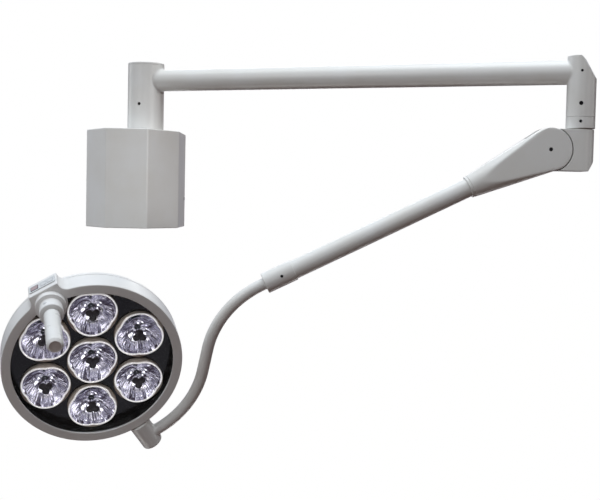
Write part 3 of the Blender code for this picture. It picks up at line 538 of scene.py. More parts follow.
def head_top(x):
    """The elbow head's top: level, then a slanted face on the far side, with a soft ridge between."""
    slope = -0.0158 - 1.792 * (x - 0.0275)
    blend = 0.0035
    near = max(blend - abs(HEAD_TOP - slope), 0.0) / blend
    return min(HEAD_TOP, slope) - near * near * blend / 4


def elbow_head_shape():
    shape = bmesh.new()
    edge, radius, foot = 0.0012, HEAD_RADIUS, HEAD_FOOT
    turns = [2 * pi * index / SIDES for index in range(SIDES)]
    loops = [[shape.verts.new((0, 0, foot))]]
    for reach, height in ((radius - 0.0006, foot), (radius - 0.0002, foot + 0.0002), (radius, foot + 0.0006)):
        loops.append([shape.verts.new((reach * cos(turn), reach * sin(turn), height)) for turn in turns])
    for step in range(6):
        bend = pi / 2 * step / 5
        reach = radius - edge * (1 - cos(bend))
        loop = []
        for turn in turns:
            height = head_top((radius - edge) * cos(turn)) - edge * (1 - sin(bend))
            loop.append(shape.verts.new((reach * cos(turn), reach * sin(turn), height)))
        loops.append(loop)
    for share in (0.9, 0.8, 0.7, 0.6, 0.5, 0.4, 0.3, 0.2, 0.1):
        reach = (radius - edge) * share
        places = [(reach * cos(turn), reach * sin(turn)) for turn in turns]
        loops.append([shape.verts.new((x, y, head_top(x))) for x, y in places])
    loops.append([shape.verts.new((0, 0, head_top(0)))])
    return bridge(shape, loops)


def make_horizontal_arm():
    tube = lathe([(POST_BORE, POST_FOOT, 0.0005), (POST_RADIUS, POST_FOOT, 0.0008), (POST_RADIUS, POST_TOP),
                  (POST_BORE, POST_TOP)])
    heading = STOP_SCREW_FACING - ARM_HEADING
    tube = carved(tube, screw_hole(0.0034, 0.030, 0.045, heading, STOP_SCREW_Z))
    stand_in("post_tube", tube, ARM, "painted_white", "horizontal_arm")
    cap = [(0, 0.0240), (0.0335, 0.0240), (0.0335, 0.0323), (POST_RADIUS, 0.0323, 0.0002),
           (POST_RADIUS, CAP_TOP, 0.0016), (0, CAP_TOP)]
    stand_in("post_cap", lathe(cap), ARM, "painted_white", "horizontal_arm")
    stand_in("base_stop_screw", set_screw(0.0030, 0.0290, 0.0366, heading, STOP_SCREW_Z), ARM, "black_screw",
             "horizontal_arm")
    beam = lathe([(ARM_BORE, 0.030), (ARM_RADIUS, 0.030), (ARM_RADIUS, ARM_END), (ARM_BORE, ARM_END)],
                 axis="X")
    stand_in("arm_tube", beam, ARM, "painted_white", "horizontal_arm")
    piece("post_weld", weld(POST_RADIUS - 0.0001, ARM_RADIUS, 0.0060), ARM, "painted_white", "horizontal_arm",
          sharp=60)
    far = ARM @ Matrix.Translation(HEAD_CENTRE)
    piece("elbow_weld", weld(HEAD_RADIUS - 0.0001, ARM_RADIUS, 0.0032), far @ Matrix.Rotation(pi, 4, "Z"),
          "painted_white",
          "horizontal_arm", sharp=60)
    turn = ELBOW_SCREW_FACING - ARM_HEADING
    bore = rod(0.0155, HEAD_FOOT - 0.01, 0.008)
    head = carved(elbow_head_shape(), bore, screw_hole(0.0026, 0.018, 0.036, turn, UPPER_SCREW_Z),
                  screw_hole(0.0039, 0.0185, 0.036, turn, LOWER_SCREW_Z))
    stand_in("elbow_head", head, far, "painted_white", "horizontal_arm")
    stand_in("elbow_head_screw_upper", set_screw(0.0022, 0.0185, 0.0260, turn, UPPER_SCREW_Z), far,
             "black_screw", "horizontal_arm")
    stand_in("elbow_head_screw_lower", set_screw(0.0035, 0.0190, 0.0256, turn, LOWER_SCREW_Z), far,
             "black_screw", "horizontal_arm")
    bore = 0.020
    ring = [(bore, RING_FOOT), (HEAD_RADIUS, RING_FOOT, 0.0012), (HEAD_RADIUS, RING_TOP, 0.0005),
            (bore, RING_TOP)]
    ring = carved(lathe(ring), screw_hole(0.0029, 0.016, 0.036, turn, RING_SCREW_Z))
    stand_in("cover_ring", ring, far, "painted_white", "horizontal_arm")
    stand_in("cover_ring_screw", set_screw(0.0025, 0.0205, 0.0258, turn, RING_SCREW_Z), far, "black_screw",
             "horizontal_arm")


# ------------------------------------------------------------------ elbow

BLOCK, BLOCK_TOP, BLOCK_FOOT = 0.025, 0.038, -0.0383
PIVOT_REACH, CLEARANCE = 0.0592, 0.0416
NECK_HALF_WIDTH = 0.0089


def make_elbow():
    turns = [pi / 2 + pi * step / 56 for step in range(57)]
    round_back = [(BLOCK * cos(turn), BLOCK * sin(turn)) for turn in turns]
    outline = [*round_back, (0.049, -BLOCK), (0.049, BLOCK)]
    block = slab(outline, BLOCK_FOOT, BLOCK_TOP, 0.0008)
    cheek = rod(CLEARANCE, -0.04, 0.04, (PIVOT_REACH, 0, 0), "Y", 160)
    corner = bmesh.new()
    near_x, slant_x, far_x = -0.0108, -0.0258, -0.0458
    top, under = BLOCK_FOOT + 0.0225, BLOCK_FOOT - 0.02
    wedge = [(near_x, BLOCK_FOOT), (slant_x, top), (far_x, top), (far_x, under), (near_x, under)]
    near = [corner.verts.new((x, -0.04, z)) for x, z in wedge]
    far = [corner.verts.new((x, 0.04, z)) for x, z in wedge]
    bridge(corner, [near, far])
    corner.faces.new(near)
    corner.faces.new(list(reversed(far)))
    block = carved(block, cheek, corner, edge=0.0007)
    neck = slab(rectangle(0.0200, 0.0219, 0.001, 0.030, 0.0), -NECK_HALF_WIDTH, NECK_HALF_WIDTH, 0.0004,
                axis="Y")
    cam = slab(disc(0.0199, PIVOT_REACH, -0.008), -NECK_HALF_WIDTH, NECK_HALF_WIDTH, 0.0006, axis="Y")
    stand_in("elbow_block", joined(block, neck, cam), ELBOW, "painted_white", "elbow")


# -------------------------------------------------------------- spring arm

CHEEK_RADIUS, HOUSING_END, HOUSING_END_RADIUS = 0.0397, 0.162, 0.0205
HOUSING_SIDES = 144
SECTION = [(-1.0, 0.046), (0.002, 0.046), (0.050, 0.0375), (0.100, 0.0300), (0.135, 0.0245),
           (HOUSING_END, HOUSING_END_RADIUS)]
TUBE_BORE, TUBE_RADIUS, TUBE_START, TUBE_END = 0.0154, 0.0174, 0.1385, SLEEVE_END - 0.0095
SLEEVE_BORE, SLEEVE_RADIUS, SLEEVE_MOUTH, SLEEVE_SCREW_X = 0.0177, 0.0195, 0.0119, SLEEVE_END - 0.034


def housing_taper():
    taper = 0.0
    for _ in range(30):
        taper = (CHEEK_RADIUS - HOUSING_END_RADIUS * cos(taper)) / HOUSING_END
    return taper


def read_off(table, x):
    for (x0, y0), (x1, y1) in zip(table, table[1:]):
        if x <= x1:
            return y0 + (y1 - y0) * (x - x0) / (x1 - x0)
    return table[-1][1]


def housing_shape():
    """Sections across X: flat cheeks at the sides, a turned cone above and below, round at the pivot."""
    taper = housing_taper()
    touch = CHEEK_RADIUS * sin(taper)
    stations = [-CHEEK_RADIUS * cos(pi / 2 * step / 30) for step in range(31)]
    stations += [touch * step / 4 for step in range(1, 5)]
    cone_end = 0.1565
    stations += [touch + (cone_end - touch) * step / 44 for step in range(1, 45)]
    turns = [2 * pi * (index + 0.5) / HOUSING_SIDES for index in range(HOUSING_SIDES)]
    at_touch = CHEEK_RADIUS * cos(taper)
    shape = bmesh.new()
    loops = []
    power = 60
    for x in stations:
        if x <= touch:
            half = sqrt(max(CHEEK_RADIUS**2 - x * x, 1e-9))
        else:
            half = at_touch + (HOUSING_END_RADIUS - at_touch) * (x - touch) / (HOUSING_END - touch)
        smooth = sum(read_off(SECTION, x + delta) for delta in (-0.008, -0.004, 0.0, 0.004, 0.008)) / 5
        loop = []
        for turn in turns:
            limits = (BLOCK / abs(cos(turn)), half / abs(sin(turn)), smooth)
            reach = sum(value**-power for value in limits) ** (-1 / power)
            loop.append(shape.verts.new((x, reach * cos(turn), reach * sin(turn))))
        loops.append(loop)
    groove = [(0.1567, -0.0003), (0.1571, -0.0006), (0.1575, -0.0003), (0.1578, 0.0)]
    lip = [(0.1612, 0.0), (0.1617, -0.0002), (HOUSING_END, -0.0007), (HOUSING_END, -0.0029)]
    for x, change in groove + lip:
        radius = HOUSING_END_RADIUS + change
        loops.append([shape.verts.new((x, radius * cos(turn), radius * sin(turn))) for turn in turns])
    bridge(shape, loops)
    shape.faces.new(list(reversed(loops[0])))
    shape.faces.new(loops[-1])
    return shape


def sleeve_screw_hole():
    return moved(rod(0.0029, 0.012, 0.030, axis="Y", sides=48), shift(SLEEVE_SCREW_X))


def make_spring_arm():
    slot = slab(rectangle(0.0455, 0.06, 0.001, -0.0145, 0.0), -0.0112, 0.0112, SHARP, 1, axis="Y")
    housing = carved(
        housing_shape(), slot, rod(0.0145, 0.026, 0.145, axis="X"), rod(0.0177, 0.138, 0.180, axis="X"),
        rod(0.0064, -0.0163, 0.0163, axis="Y", sides=64), rod(0.0037, -0.030, 0.030, axis="Y", sides=48),
    )
    stand_in("rear_housing", housing, SPRING, "painted_white", "spring_arm", sharp=30)
    for side, name in ((1, "front"), (-1, "rear")):
        screw = moved(set_screw(0.0033, 0.0166, 0.0246), Matrix.Rotation(side * pi / 2, 4, "Z"))
        stand_in(f"pivot_screw_{name}", screw, SPRING, "black_screw", "spring_arm")
    tube = lathe([(TUBE_BORE, TUBE_START), (TUBE_RADIUS, TUBE_START), (TUBE_RADIUS, TUBE_END, 0.0004),
                  (TUBE_BORE, TUBE_END)], axis="X")
    stand_in("spring_tube", carved(tube, sleeve_screw_hole()), SPRING, "painted_white", "spring_arm")
    back, end = SLEEVE_END - 0.0586, SLEEVE_END
    seat = end - 0.0035
    sleeve = [(SLEEVE_BORE, back), (SLEEVE_RADIUS, back, 0.0008), (SLEEVE_RADIUS, end, 0.0016),
              (SLEEVE_MOUTH, end, 0.0004), (SLEEVE_MOUTH, seat), (SLEEVE_BORE, seat)]
    sleeve = carved(lathe(sleeve, axis="X"), sleeve_screw_hole())
    stand_in("front_sleeve", sleeve, SPRING, "painted_white", "spring_arm")
    screw = moved(set_screw(0.0025, 0.0158, 0.0190), shift(SLEEVE_SCREW_X) @ Matrix.Rotation(pi / 2, 4, "Z"))
    stand_in("sleeve_screw", screw, SPRING, "black_screw", "spring_arm")


# ------------------------------------------------------------------- yoke

S_STRAIGHT = (0.006, 0.0494, 0.0195)
S_BENDS = ((0.1753, radians(54.4), 1), (0.1799, radians(49.8), -1))
HUB_REACH, HUB_RADIUS, HUB_BORE, S_RADIUS = 0.1972, 0.020, 0.0106, 0.0110


def s_path(steps=30):
    """The S tube's centreline in the yoke's XZ plane, from inside the sleeve to the hub's axis."""
    point, angle = Vector((0, 0, 0)), 0.0
    path = [Vector((-0.066, 0, 0)), Vector((-0.030, 0, 0)), Vector((-0.003, 0, 0))]
    for straight, (radius, bend, sense) in zip(S_STRAIGHT, S_BENDS):
        point = point + Vector((cos(angle), 0, -sin(angle))) * straight
        path.append(point)
        centre = point + Vector((-sin(angle), 0, -cos(angle))) * (radius * sense)
        for index in range(1, steps + 1):
            turn = angle + sense * bend * index / steps
            path.append(centre - Vector((-sin(turn), 0, -cos(turn))) * (radius * sense))
        point = path[-1]
        angle += sense * bend
    path.append(point + Vector((cos(angle), 0, -sin(angle))) * S_STRAIGHT[2])
    return path


def swept(path, radius, sides=56):
    """A solid round bar along a path in the XZ plane."""
    aside = Vector((0, 1, 0))
    shape = bmesh.new()
    loops = []
    for index, point in enumerate(path):
        ahead = path[min(index + 1, len(path) - 1)] - path[max(index - 1, 0)]
        across = aside.cross(ahead.normalized())
        loop = []
        for side in range(sides):
            turn = 2 * pi * side / sides
            out = aside * (radius * cos(turn))
            loop.append(shape.verts.new(point + out + across * (radius * sin(turn))))
        loops.append(loop)
    bridge(shape, loops)
    shape.faces.new(list(reversed(loops[0])))
    shape.faces.new(loops[-1])
    return shape


def make_yoke():
    path = s_path()
    stand_in("s_tube", swept(path, S_RADIUS), YOKE, "painted_white", "yoke")
    near, far = HUB_REACH - 0.0330, HUB_REACH + 0.0215
    hub = [(0, far - 0.010), (HUB_BORE, far - 0.010), (HUB_BORE, near), (HUB_RADIUS, near, 0.0010),
           (HUB_RADIUS, far, 0.0040), (0, far)]
    stand_in("hub", lathe(hub, axis="X"), HEAD, "painted_white", "yoke")
    along = (path[-1] - path[-2]).normalized()
    back = YOKE.to_3x3() @ (-along)
    joint = frame_from(HEAD @ Vector((HUB_REACH, 0, 0)), back, HEAD_X)
    piece("hub_weld", weld(HUB_RADIUS - 0.0001, S_RADIUS, 0.0045), joint, "painted_white", "yoke", sharp=60)


# -------------------------------------------------------------- lamp head

RIM_RADIUS, RIM_OPENING, RIM_FRONT, RIM_BACK = 0.1625, 0.1455, 0.016, -0.033
POD_FACE, POD_HALF, POD_FILLET, POD_SPREAD, POD_BACK = 0.178, 0.0282, 0.017, radians(14.58), -0.028
HANDLE_PLACE = (-0.1471, 0.0040, 0)
LATCH_Z, COLLAR_TOP, SPIGOT_RADIUS, SPIGOT_TOP = 0.0435, 0.0550, 0.009, 0.1300
KEYS = {
    "power_button": (-0.0142, -0.006, 0.0070, 0.0070),
    "brighter_button": (0.0035, -0.006, 0.0050, 0.0060),
    "dimmer_button": (0.0165, -0.006, 0.0050, 0.0060),
}
KEYPAD_BACK, KEYPAD_FRONT = 0.1783, 0.1798


def arc(x, y, radius, start, end, count):
    turns = [start + (end - start) * index / (count - 1) for index in range(count)]
    return [(x + radius * cos(turn), y + radius * sin(turn)) for turn in turns]


def rim_outline():
    """The rim's outline with the keypad pod, anticlockwise, in the pod's frame."""
    corner = 0.0025
    centre_x = -(RIM_RADIUS + POD_FILLET) * cos(POD_SPREAD)
    centre_y = (RIM_RADIUS + POD_FILLET) * sin(POD_SPREAD)
    upper = arc(centre_x, centre_y, POD_FILLET, -POD_SPREAD, -pi / 2, 14)
    upper += arc(corner - POD_FACE, POD_HALF - corner, corner, pi / 2, pi, 7)
    face = [(-POD_FACE, POD_HALF * share) for share in (0.7, 0.45, 0.2, -0.05, -0.3, -0.55, -0.75)]
    lower = [(x, -y) for x, y in reversed(upper)]
    around = arc(0, 0, RIM_RADIUS, POD_SPREAD - pi, pi - POD_SPREAD, 180)
    return around[1:-1] + upper + face + lower


def rim_shape():
    outline = rim_outline()
    angles = [atan2(y, x) for x, y in outline]
    edge, lip = 0.0018, 0.0008
    shape = bmesh.new()

    def ring(radius, height):
        return [shape.verts.new((radius * cos(turn), radius * sin(turn), height)) for turn in angles]

    def skirt(back, height):
        return [shape.verts.new((x, y, height)) for x, y in inset(outline, back)]

    loops = [ring(RIM_OPENING, RIM_FRONT - 0.0035)]
    for step in range(4):
        turn = pi / 2 * step / 3
        loops.append(ring(RIM_OPENING + lip * (1 - cos(turn)), RIM_FRONT - lip * (1 - sin(turn))))
    for step in range(5):
        turn = pi / 2 * step / 4
        loops.append(skirt(edge * (1 - sin(turn)), RIM_FRONT - edge * (1 - cos(turn))))
    foot = [(0.0, 0.0), (0.0, POD_BACK + 0.0015), (0.0005, POD_BACK + 0.0004), (0.0012, POD_BACK)]
    for back, height in foot:
        loops.append(skirt(back, height))
    loops.append(ring(RIM_RADIUS, POD_BACK - 0.0006))
    loops.append(ring(RIM_RADIUS, RIM_BACK + 0.0005))
    loops.append(ring(RIM_RADIUS - 0.0005, RIM_BACK))
    loops.append(ring(RIM_RADIUS - 0.003, RIM_BACK))
    loops.append(ring(RIM_RADIUS - 0.003, RIM_FRONT - 0.0035))
    return bridge(shape, loops, closed=True)


def key_outline(key, grow, corner):
    y, z, half_y, half_z = key
    return rectangle(half_y + grow, half_z + grow, corner, -y, z)


def facing(shape, front):
    """Turns a shape drawn in the XY plane, with +Z outwards, onto the pod's face."""
    turn = Matrix(((0, 0, -1, -front), (-1, 0, 0, 0), (0, 1, 0, 0), (0, 0, 0, 1)))
    return moved(shape, turn)


def make_rim():
    pockets = [facing(slab(key_outline(key, 0.0004, 0.0012), -0.008, 0.006, SHARP, 1),
                      POD_FACE) for key in KEYS.values()]
    stand_in("rim_housing", carved(rim_shape(), *pockets), POD, "head_white", "lamp_head", sharp=30)
    bump = [(0, 0.0127), (0.0300, 0.0127), (0.0300, RIM_FRONT - 0.0001, 0.0010), (0, RIM_FRONT - 0.0001)]
    piece("handle_pad", lathe(bump, centre=HANDLE_PLACE), HEAD, "head_white", "lamp_head")
    panel = slab(rectangle(0.0250, 0.0105, 0.0016, -0.0005, -0.006), KEYPAD_BACK - POD_FACE,
                 KEYPAD_FRONT - POD_FACE, 0.0004)
    pockets = [slab(key_outline(key, 0.0004, 0.0012), -0.004, 0.006, SHARP, 1) for key in KEYS.values()]
    panel = facing(carved(panel, *pockets), POD_FACE)
    stand_in("keypad_panel", panel, POD, "keypad_grey", "lamp_head")
    for name, key in KEYS.items():
        front = KEYPAD_FRONT + 0.0007 - POD_FACE
        shape = slab(key_outline(key, 0.0, 0.0010), -0.0025, front, 0.0005)
        top = max(shape.faces, key=lambda face: face.calc_center_median().z)
        bmesh.ops.inset_region(shape, faces=[top], thickness=0.0022, depth=0.0)
        bmesh.ops.translate(shape, vec=(0, 0, -0.0002), verts=top.verts)
        top.material_index = 1
        finish, inner = "keypad_grey", MATERIALS["keypad_grey"]
        if name == "power_button":
            finish, inner = "key_dark", KEY_FACE
        stand_in(name, facing(shape, POD_FACE), POD, finish, name, paint=[inner])


# ------------------------------------------------------------- reflectors

PITCH, REFLECTOR_RADIUS, REFLECTOR_TURN = 0.0973, 0.0455, radians(58.4)
LOBE_OFFSET, LOBE_RADIUS = 0.0098, 0.0348
LED_LOBE_OFFSET, LED_LOBE_RADIUS = 0.0068, 0.0066
STEM_TOP, EMITTER_TOP, CARRIER_BACK = -0.0055, 0.0001, 0.0017
BOWL_FRONT, BOWL_DEPTH = 0.0018, 0.0350
FLIPPED = ("upper_right", "upper_left", "bottom")


def reflector_places():
    places = {"centre": (0.0, 0.0)}
    for index, name in enumerate(("lower_right", "upper_right", "top", "upper_left", "lower_left", "bottom")):
        turn = REFLECTOR_TURN + radians(60 * index - 30)
        places[name] = (PITCH * cos(turn), PITCH * sin(turn))
    return places


def lobe_turn(turn, first):
    """The angle from the nearest lobe's axis."""
    third = 2 * pi / 3
    return (turn - first + third / 2) % third - third / 2


def trefoil(turn, first, offset, radius):
    away = lobe_turn(turn, first)
    return offset * cos(away) + sqrt(radius**2 - (offset * sin(away)) ** 2)


def reflector_shape(first):
    """A three-lobed bowl whose front edge glows as a painted highlight, in a round collar."""
    shape = bmesh.new()
    count = 180
    turns = [first + 2 * pi * (index + 0.5) / count for index in range(count)]

    def ring(reach, height):
        made = []
        for turn in turns:
            r = reach(turn)
            made.append(shape.verts.new((r * cos(turn), r * sin(turn), height(turn, r))))
        return made

    def edge(turn):
        return trefoil(turn, first, LOBE_OFFSET, LOBE_RADIUS)

    def depth(turn, r):
        away = lobe_turn(turn, first)
        share = hypot(r * cos(away) - LOBE_OFFSET, r * sin(away)) / LOBE_RADIUS
        ripple = 0.00035 * max(0.0, min(1.0, (share - 0.45) * 3)) * cos(36 * away)
        return BOWL_FRONT - BOWL_DEPTH * (1 - share**2) + ripple * (1 - share) * 4

    outer = REFLECTOR_RADIUS

    def lip(out):
        return lambda turn: min(edge(turn) + out, outer - 0.0002)

    def at(height):
        return lambda turn, r: height

    collar = [
        (lambda turn: outer - 0.0005, at(-0.0125)),
        (lambda turn: outer, at(-0.0120)),
        (lambda turn: outer, at(-0.0020)),
        (lambda turn: outer - 0.00005, at(-0.0012)),
        (lip(0.0014), at(-0.0002)),
        (lip(0.0009), at(BOWL_FRONT - 0.0006)),
        (lip(0.0004), at(BOWL_FRONT)),
        (lambda turn: edge(turn) - 0.0006, at(BOWL_FRONT + 0.0002)),
        (lambda turn: edge(turn) - 0.0014, at(BOWL_FRONT - 0.0002)),
        (lambda turn: edge(turn) - 0.0020, at(BOWL_FRONT - 0.0014)),
    ]
    loops = [ring(*level_) for level_ in collar]
    steps = 26
    for step in range(1, steps + 1):
        share = 1 - step / (steps + 1.2)
        loops.append(ring(lambda turn, share=share: (edge(turn) - 0.0022) * share, depth))
    loops.append([shape.verts.new((0, 0, depth(first, 0.0)))])
    bridge(shape, loops)
    shape.faces.ensure_lookup_table()
    # Kind 1 is the collar, kind 2 the lip that glows as a painted highlight, kind 0 the bowl.
    kinds = [1, 1, 1, 1, 2, 2, 2, 2, 2] + [0] * (steps + 1)
    for index, kind in enumerate(kinds):
        for face in shape.faces[index * count : (index + 1) * count]:
            face.material_index = kind
    return shape


def led_shape(first):
    """A light source: a three-lobed carrier with its emitter behind it, facing the bowl, on a thin stem.
    Emitter and carrier back glow as painted reflections in the bowl.
    """
    shape = bmesh.new()
    count = 96
    turns = [first + 2 * pi * (index + 0.5) / count for index in range(count)]
    stem = [(0.13, -0.0330), (0.13, -0.0056)]
    emitter = [(0.30, -0.0048), (0.30, -0.0004)]
    back = [(0.36, 0.0003), (0.80, 0.0008), (0.97, 0.0015), (1.0, 0.0025)]
    front = [(1.0, 0.0040), (0.96, 0.0048), (0.85, 0.0053), (0.6, 0.0057), (0.3, 0.0059)]
    loops = []
    for share, height in stem + emitter + back + front:
        loop = []
        for turn in turns:
            r = share * trefoil(turn, first, LED_LOBE_OFFSET, LED_LOBE_RADIUS)
            loop.append(shape.verts.new((r * cos(turn), r * sin(turn), height)))
        loops.append(loop)
    loops.append([shape.verts.new((0, 0, 0.0060))])
    bridge(shape, loops)
    shape.faces.new(list(reversed(loops[0])))
    # Index 3, the emitter, and index 1, the carrier's back, take the glowing finishes that paint reflections
    # into the bowl.
    for face in shape.faces:
        height = face.calc_center_median().z
        if height < STEM_TOP:
            face.material_index = 2
        elif height < EMITTER_TOP:
            face.material_index = 3
        elif height < CARRIER_BACK:
            face.material_index = 1
    return shape


def make_optics():
    places = reflector_places()
    plate = slab(disc(0.1575, sides=200), -0.0100, -0.0080, 0.0003)
    holes = [slab(disc(0.0459, x, y), -0.02, 0.01, SHARP, 1) for x, y in places.values()]
    stand_in("face_plate", carved(plate, *holes), HEAD, "black_face", "lamp_head")
    lamps = []
    for name, (x, y) in places.items():
        first = REFLECTOR_TURN + radians(90 if name in FLIPPED else 30)
        bowl = moved(reflector_shape(first), shift(x, y))
        # Each bowl's lip wears the glowing rim finish, a painted highlight.
        stand_in(f"reflector_{name}", bowl, HEAD, "reflector_chrome", "lamp_head",
                 sharp=50, paint=[WARM_RIM, RIM_PAINTED_HIGHLIGHT])
        lamps.append(moved(led_shape(first), shift(x, y)))
    # The carrier backs and emitters take glowing finishes, painted reflections for the bowls.
    leds = piece("led_windows", joined(*lamps), HEAD, "black_face", "lamp_head",
                 paint=[LED_BACK_PAINTED_GLOW, MATERIALS["reflector_chrome"], EMITTER_PAINTED_GLOW])
    leds.data.materials[0] = LED_DARK
    pane = [(0, 0.0092), (0.1570, 0.0092, 0.0005), (0.1570, 0.0122, 0.0005), (0, 0.0122)]
    stand_in("front_lens", lathe(pane, 160), HEAD, "clear_lens", "lamp_head")


BACK_RADIUS, BACK_INNER_RADIUS, BACK_SEAT, BACK_SQUARENESS = 0.162, 0.1590, -0.0333, 5.5
BACK_SCREW_CIRCLE, SLOT_CIRCLE, SLOT_COUNT = 0.142, 0.108, 28


def make_back():
    def dished(r, radius, rise):
        return (r, BACK_SEAT - rise * sqrt(max(0.0, 1 - (r / radius) ** BACK_SQUARENESS)))

    outer, inner = [], []
    for step in range(41):
        turn = pi / 2 * step / 40
        outer.append(dished(BACK_RADIUS * cos(turn), BACK_RADIUS, 0.0267))
        inner.append(dished(BACK_INNER_RADIUS * sin(turn), BACK_INNER_RADIUS, 0.0240))
    outer[-1], inner[0] = (0.0, outer[-1][1]), (0.0, inner[0][1])
    dish = lathe(inner + outer, 144)
    slots = []
    for index in range(SLOT_COUNT):
        slot = slab(rectangle(0.0140, 0.0016, 0.00155, SLOT_CIRCLE, 0.0), -0.08, -0.03, SHARP, 1)
        slots.append(moved(slot, Matrix.Rotation(2 * pi * (index + 0.5) / SLOT_COUNT, 4, "Z")))
    corners = [pi / 4 + pi / 2 * quarter for quarter in range(4)]
    places = [(BACK_SCREW_CIRCLE * cos(turn), BACK_SCREW_CIRCLE * sin(turn)) for turn in corners]
    wells = [slab(disc(0.0045, x, y, 48), -0.08, -0.0475, 0.0002, 1) for x, y in places]
    stand_in("back_cover", carved(dish, joined(*slots), joined(*wells)), HEAD, "head_white", "lamp_head",
             sharp=30)
    screw_profile = [(0, -0.0465), (0.0030, -0.0465), (0.0036, -0.0480), (0.0036, -0.0497, 0.0006),
                     (0, -0.0497)]
    screws = []
    for x, y in places:
        screw = lathe(screw_profile, 40)
        socket = slab(disc(0.0015, sides=6), -0.052, -0.0485, SHARP, 1)
        screws.append(moved(carved(screw, socket), shift(x, y)))
    piece("back_screws", joined(*screws), HEAD, "zinc_plated", "lamp_head")


# ----------------------------------------------------------------- handle


def make_handle():
    front, collar = RIM_FRONT + 0.0003, 0.0212
    base = [(0, front), (0.0271, front, 0.0004), (0.0271, 0.0290, 0.0014), (0.0205, 0.0300, 0.0008),
            (0.0200, 0.0320, 0.0006), (collar, 0.0420), (collar, COLLAR_TOP, 0.0020),
            (0.0152, COLLAR_TOP, 0.0004), (0.0152, 0.0546), (SPIGOT_RADIUS, 0.0546),
            (SPIGOT_RADIUS, SPIGOT_TOP, 0.0010), (0, SPIGOT_TOP)]
    hole = rod(0.0034, -0.030, -0.0140, (0, 0, LATCH_Z), "X", 48)
    base = moved(carved(lathe(base), hole), shift(*HANDLE_PLACE))
    stand_in("handle_base", base, HEAD, "head_white", "lamp_head")
    latch = [(0, -0.0220), (0.0030, -0.0220, 0.0008), (0.0030, -0.0160), (0, -0.0160)]
    latch = moved(lathe(latch, 48, axis="X"), shift(HANDLE_PLACE[0], HANDLE_PLACE[1], LATCH_Z))
    stand_in("handle_latch", latch, HEAD, "keypad_grey", "handle_latch")
    foot, end, wide, bore, disc_edge = 0.0553, 0.165, 0.0142, 0.0094, 0.0096
    grip = [(0, 0.1325), (bore, 0.1325), (bore, foot), (0.0124, foot, 0.0005), (wide, foot + 0.0036, 0.0020),
            (wide, end - 0.0052, 0.0030), (0.0104, end, 0.0012), (disc_edge, end),
            (disc_edge, end - 0.0006), (0, end - 0.0006)]
    shape = moved(lathe(grip), shift(*HANDLE_PLACE))
    for face in shape.faces:
        middle = face.calc_center_median()
        away = hypot(middle.x - HANDLE_PLACE[0], middle.y - HANDLE_PLACE[1])
        if middle.z > end - 0.0010 and away < 0.0097:
            face.material_index = 1
    stand_in("handle", shape, HEAD, "handle_white", "handle", paint=[GRIP_END])


make_wall_unit()
make_horizontal_arm()
make_elbow()
make_spring_arm()
make_yoke()
make_rim()
make_optics()
make_back()
make_handle()

# ------------------------------------------------------------------ studio


def unlit(name, colour, strength):
    """A plain glowing finish for the backdrop and floor, which only the camera sees."""
    made = bpy.data.materials.new(name)
    made.use_nodes = True
    tree = made.node_tree
    tree.nodes.remove(tree.nodes["Principled BSDF"])
    glow = node(tree, "ShaderNodeEmission", Color=(*colour, 1.0), Strength=strength)
    tree.links.new(glow.outputs["Emission"], tree.nodes["Material Output"].inputs["Surface"])
    return made


def staged(name, shape, finish):
    mesh = bpy.data.meshes.new(name)
    shape.to_mesh(mesh)
    shape.free()
    mesh.materials.append(finish)
    made = bpy.data.objects.new(name, mesh)
    bpy.context.scene.collection.objects.link(made)
    for ray in ("diffuse", "glossy", "transmission", "shadow", "volume_scatter"):
        setattr(made, "visible_" + ray, False)
    return made


FLOOR_HEIGHT = CAD_BOX[0].z - 0.45
DOME_RADIUS, FLOOR_RADIUS = 9.0, 8.0
dome = bmesh.new()
bmesh.ops.create_icosphere(dome, subdivisions=4, radius=DOME_RADIUS)
staged("backdrop", dome, unlit("backdrop_white", (1.0, 1.0, 1.0), 1.0))
floor = bmesh.new()
bmesh.ops.create_circle(floor, cap_ends=True, segments=64, radius=FLOOR_RADIUS)
bmesh.ops.translate(floor, vec=(0, 0, FLOOR_HEIGHT), verts=floor.verts)
staged("floor", floor, unlit("floor_pale", (1.0, 1.0, 0.998), 1.0))


# The sky brightens along its axis. Colours by share of the way up it, and by the panels' noise.
SKY_AXIS = (-0.34, 0.0, 0.940)
SKY = [(0.0, (0.026, 0.008, 0.003)), (0.40, (0.078, 0.038, 0.022)), (0.52, (0.186, 0.156, 0.142)),
       (0.72, (0.52, 0.565, 0.60)), (1.0, (1.12, 1.22, 1.32))]
PANELS = [(0.38, (0.04, 0.03, 0.04)), (0.46, (0.15, 0.14, 0.18)), (0.54, (0.38, 0.38, 0.45)),
          (0.58, (0.24, 0.24, 0.30)), (0.62, (2.3, 2.3, 2.3))]


def colour_stops(tree, value, stops):
    """A colour read off a table of (position, colour) stops by a value."""
    made = tree.nodes.new("ShaderNodeValToRGB")
    elements = made.color_ramp.elements
    while len(elements) < len(stops):
        elements.new(0.5)
    for element, (position, colour) in zip(elements, stops):
        element.position = position
        element.color = (*colour, 1.0)
    tree.links.new(value, made.inputs["Fac"])
    return made.outputs["Color"]


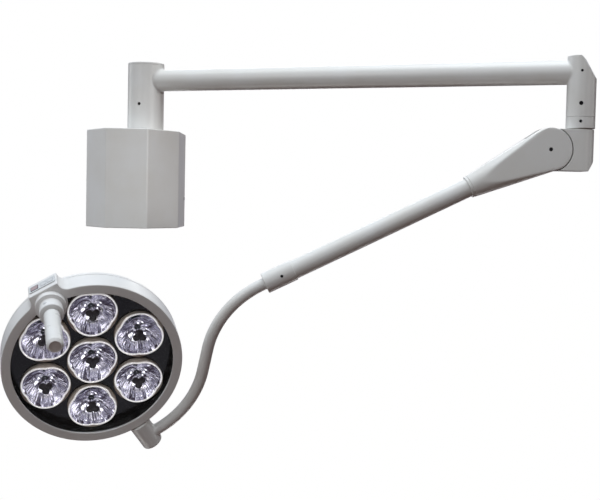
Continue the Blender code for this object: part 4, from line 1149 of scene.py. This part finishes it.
def studio_world():
    """Soft light from all round, bright above and dim and warm below. Reflections see studio panels."""
    world = bpy.data.worlds.new("studio")
    world.use_nodes = True
    bpy.context.scene.world = world
    tree = world.node_tree
    where = tree.nodes.new("ShaderNodeTexCoord").outputs["Generated"]
    rise = node(tree, "ShaderNodeVectorMath", operation="DOT_PRODUCT")
    rise.inputs[1].default_value = SKY_AXIS
    share = tree.nodes.new("ShaderNodeMapRange")
    share.inputs["From Min"].default_value = -1.0
    tree.links.new(where, rise.inputs[0])
    tree.links.new(rise.outputs["Value"], share.inputs["Value"])
    sky = colour_stops(tree, share.outputs["Result"], SKY)
    cloud = node(tree, "ShaderNodeTexNoise", Scale=1.8, Detail=1.0)
    tree.links.new(where, cloud.inputs["Vector"])
    panels = colour_stops(tree, cloud.outputs["Fac"], PANELS)
    kind = tree.nodes.new("ShaderNodeLightPath")
    both = node(tree, "ShaderNodeMix", data_type="RGBA")
    factor, diffuse, glossy, mixed = both.inputs[0], both.inputs[6], both.inputs[7], both.outputs[2]
    tree.links.new(kind.outputs["Is Glossy Ray"], factor)
    tree.links.new(sky, diffuse)
    tree.links.new(panels, glossy)
    tree.links.new(mixed, tree.nodes["Background"].inputs["Color"])


def aimed(name, lamp, at, target):
    made = bpy.data.objects.new(name, lamp)
    made.location = at
    made.rotation_euler = (Vector(target) - Vector(at)).to_track_quat("-Z", "Y").to_euler()
    bpy.context.scene.collection.objects.link(made)
    return made


def softbox(name, at, target, size, power, colour):
    lamp = bpy.data.lights.new(name, "AREA")
    lamp.shape = "RECTANGLE"
    lamp.size, lamp.size_y = size
    lamp.energy = power
    lamp.color = colour
    aimed(name, lamp, at, target)


def fill(name, at, target, cone, power, soft, pieces):
    """A spot that lights only the given pieces, so that it doesn't graze the arms in front of it."""
    lamp = bpy.data.lights.new(name, "SPOT")
    lamp.energy, lamp.spot_size = power, radians(cone)
    lamp.spot_blend, lamp.shadow_soft_size = 0.6, soft
    made = aimed(name, lamp, at, target)
    lit = bpy.data.collections.new(name)
    for lit_piece in pieces:
        lit.objects.link(bpy.data.objects[lit_piece])
    made.light_linking.receiver_collection = lit


studio_world()
softbox("overhead", (0.60, -0.45, 1.9), (0.30, -0.45, 0.0), (1.6, 1.2), 16.5, (0.97, 1.0, 1.03))
softbox("left_front", (-1.3, -2.2, 0.9), (0.0, -0.2, 0.0), (0.9, 0.9), 5.0, (1.0, 0.96, 0.91))
fill("wall_unit_fill", (0.75, -0.80, 0.04), (0.06, -0.12, 0.05), 26.0, 6.5, 0.08,
     ["housing_cover_look", "post_tube_look", "post_cap_look"])

camera = bpy.data.objects.new("camera", bpy.data.cameras.new("camera"))
camera.data.lens, camera.data.sensor_width = 66.0, 36.0
CAMERA_PLACE, CAMERA_PITCH, CAMERA_ROLL = (0.361, -2.484, -0.031), radians(87.24), radians(1.2)
turned = Matrix.Rotation(CAMERA_PITCH, 4, "X") @ Matrix.Rotation(CAMERA_ROLL, 4, "Z")
camera.matrix_world = Matrix.Translation(CAMERA_PLACE) @ turned
bpy.context.scene.collection.objects.link(camera)
bpy.context.scene.camera = camera
bpy.context.scene.view_settings.view_transform = "Standard"
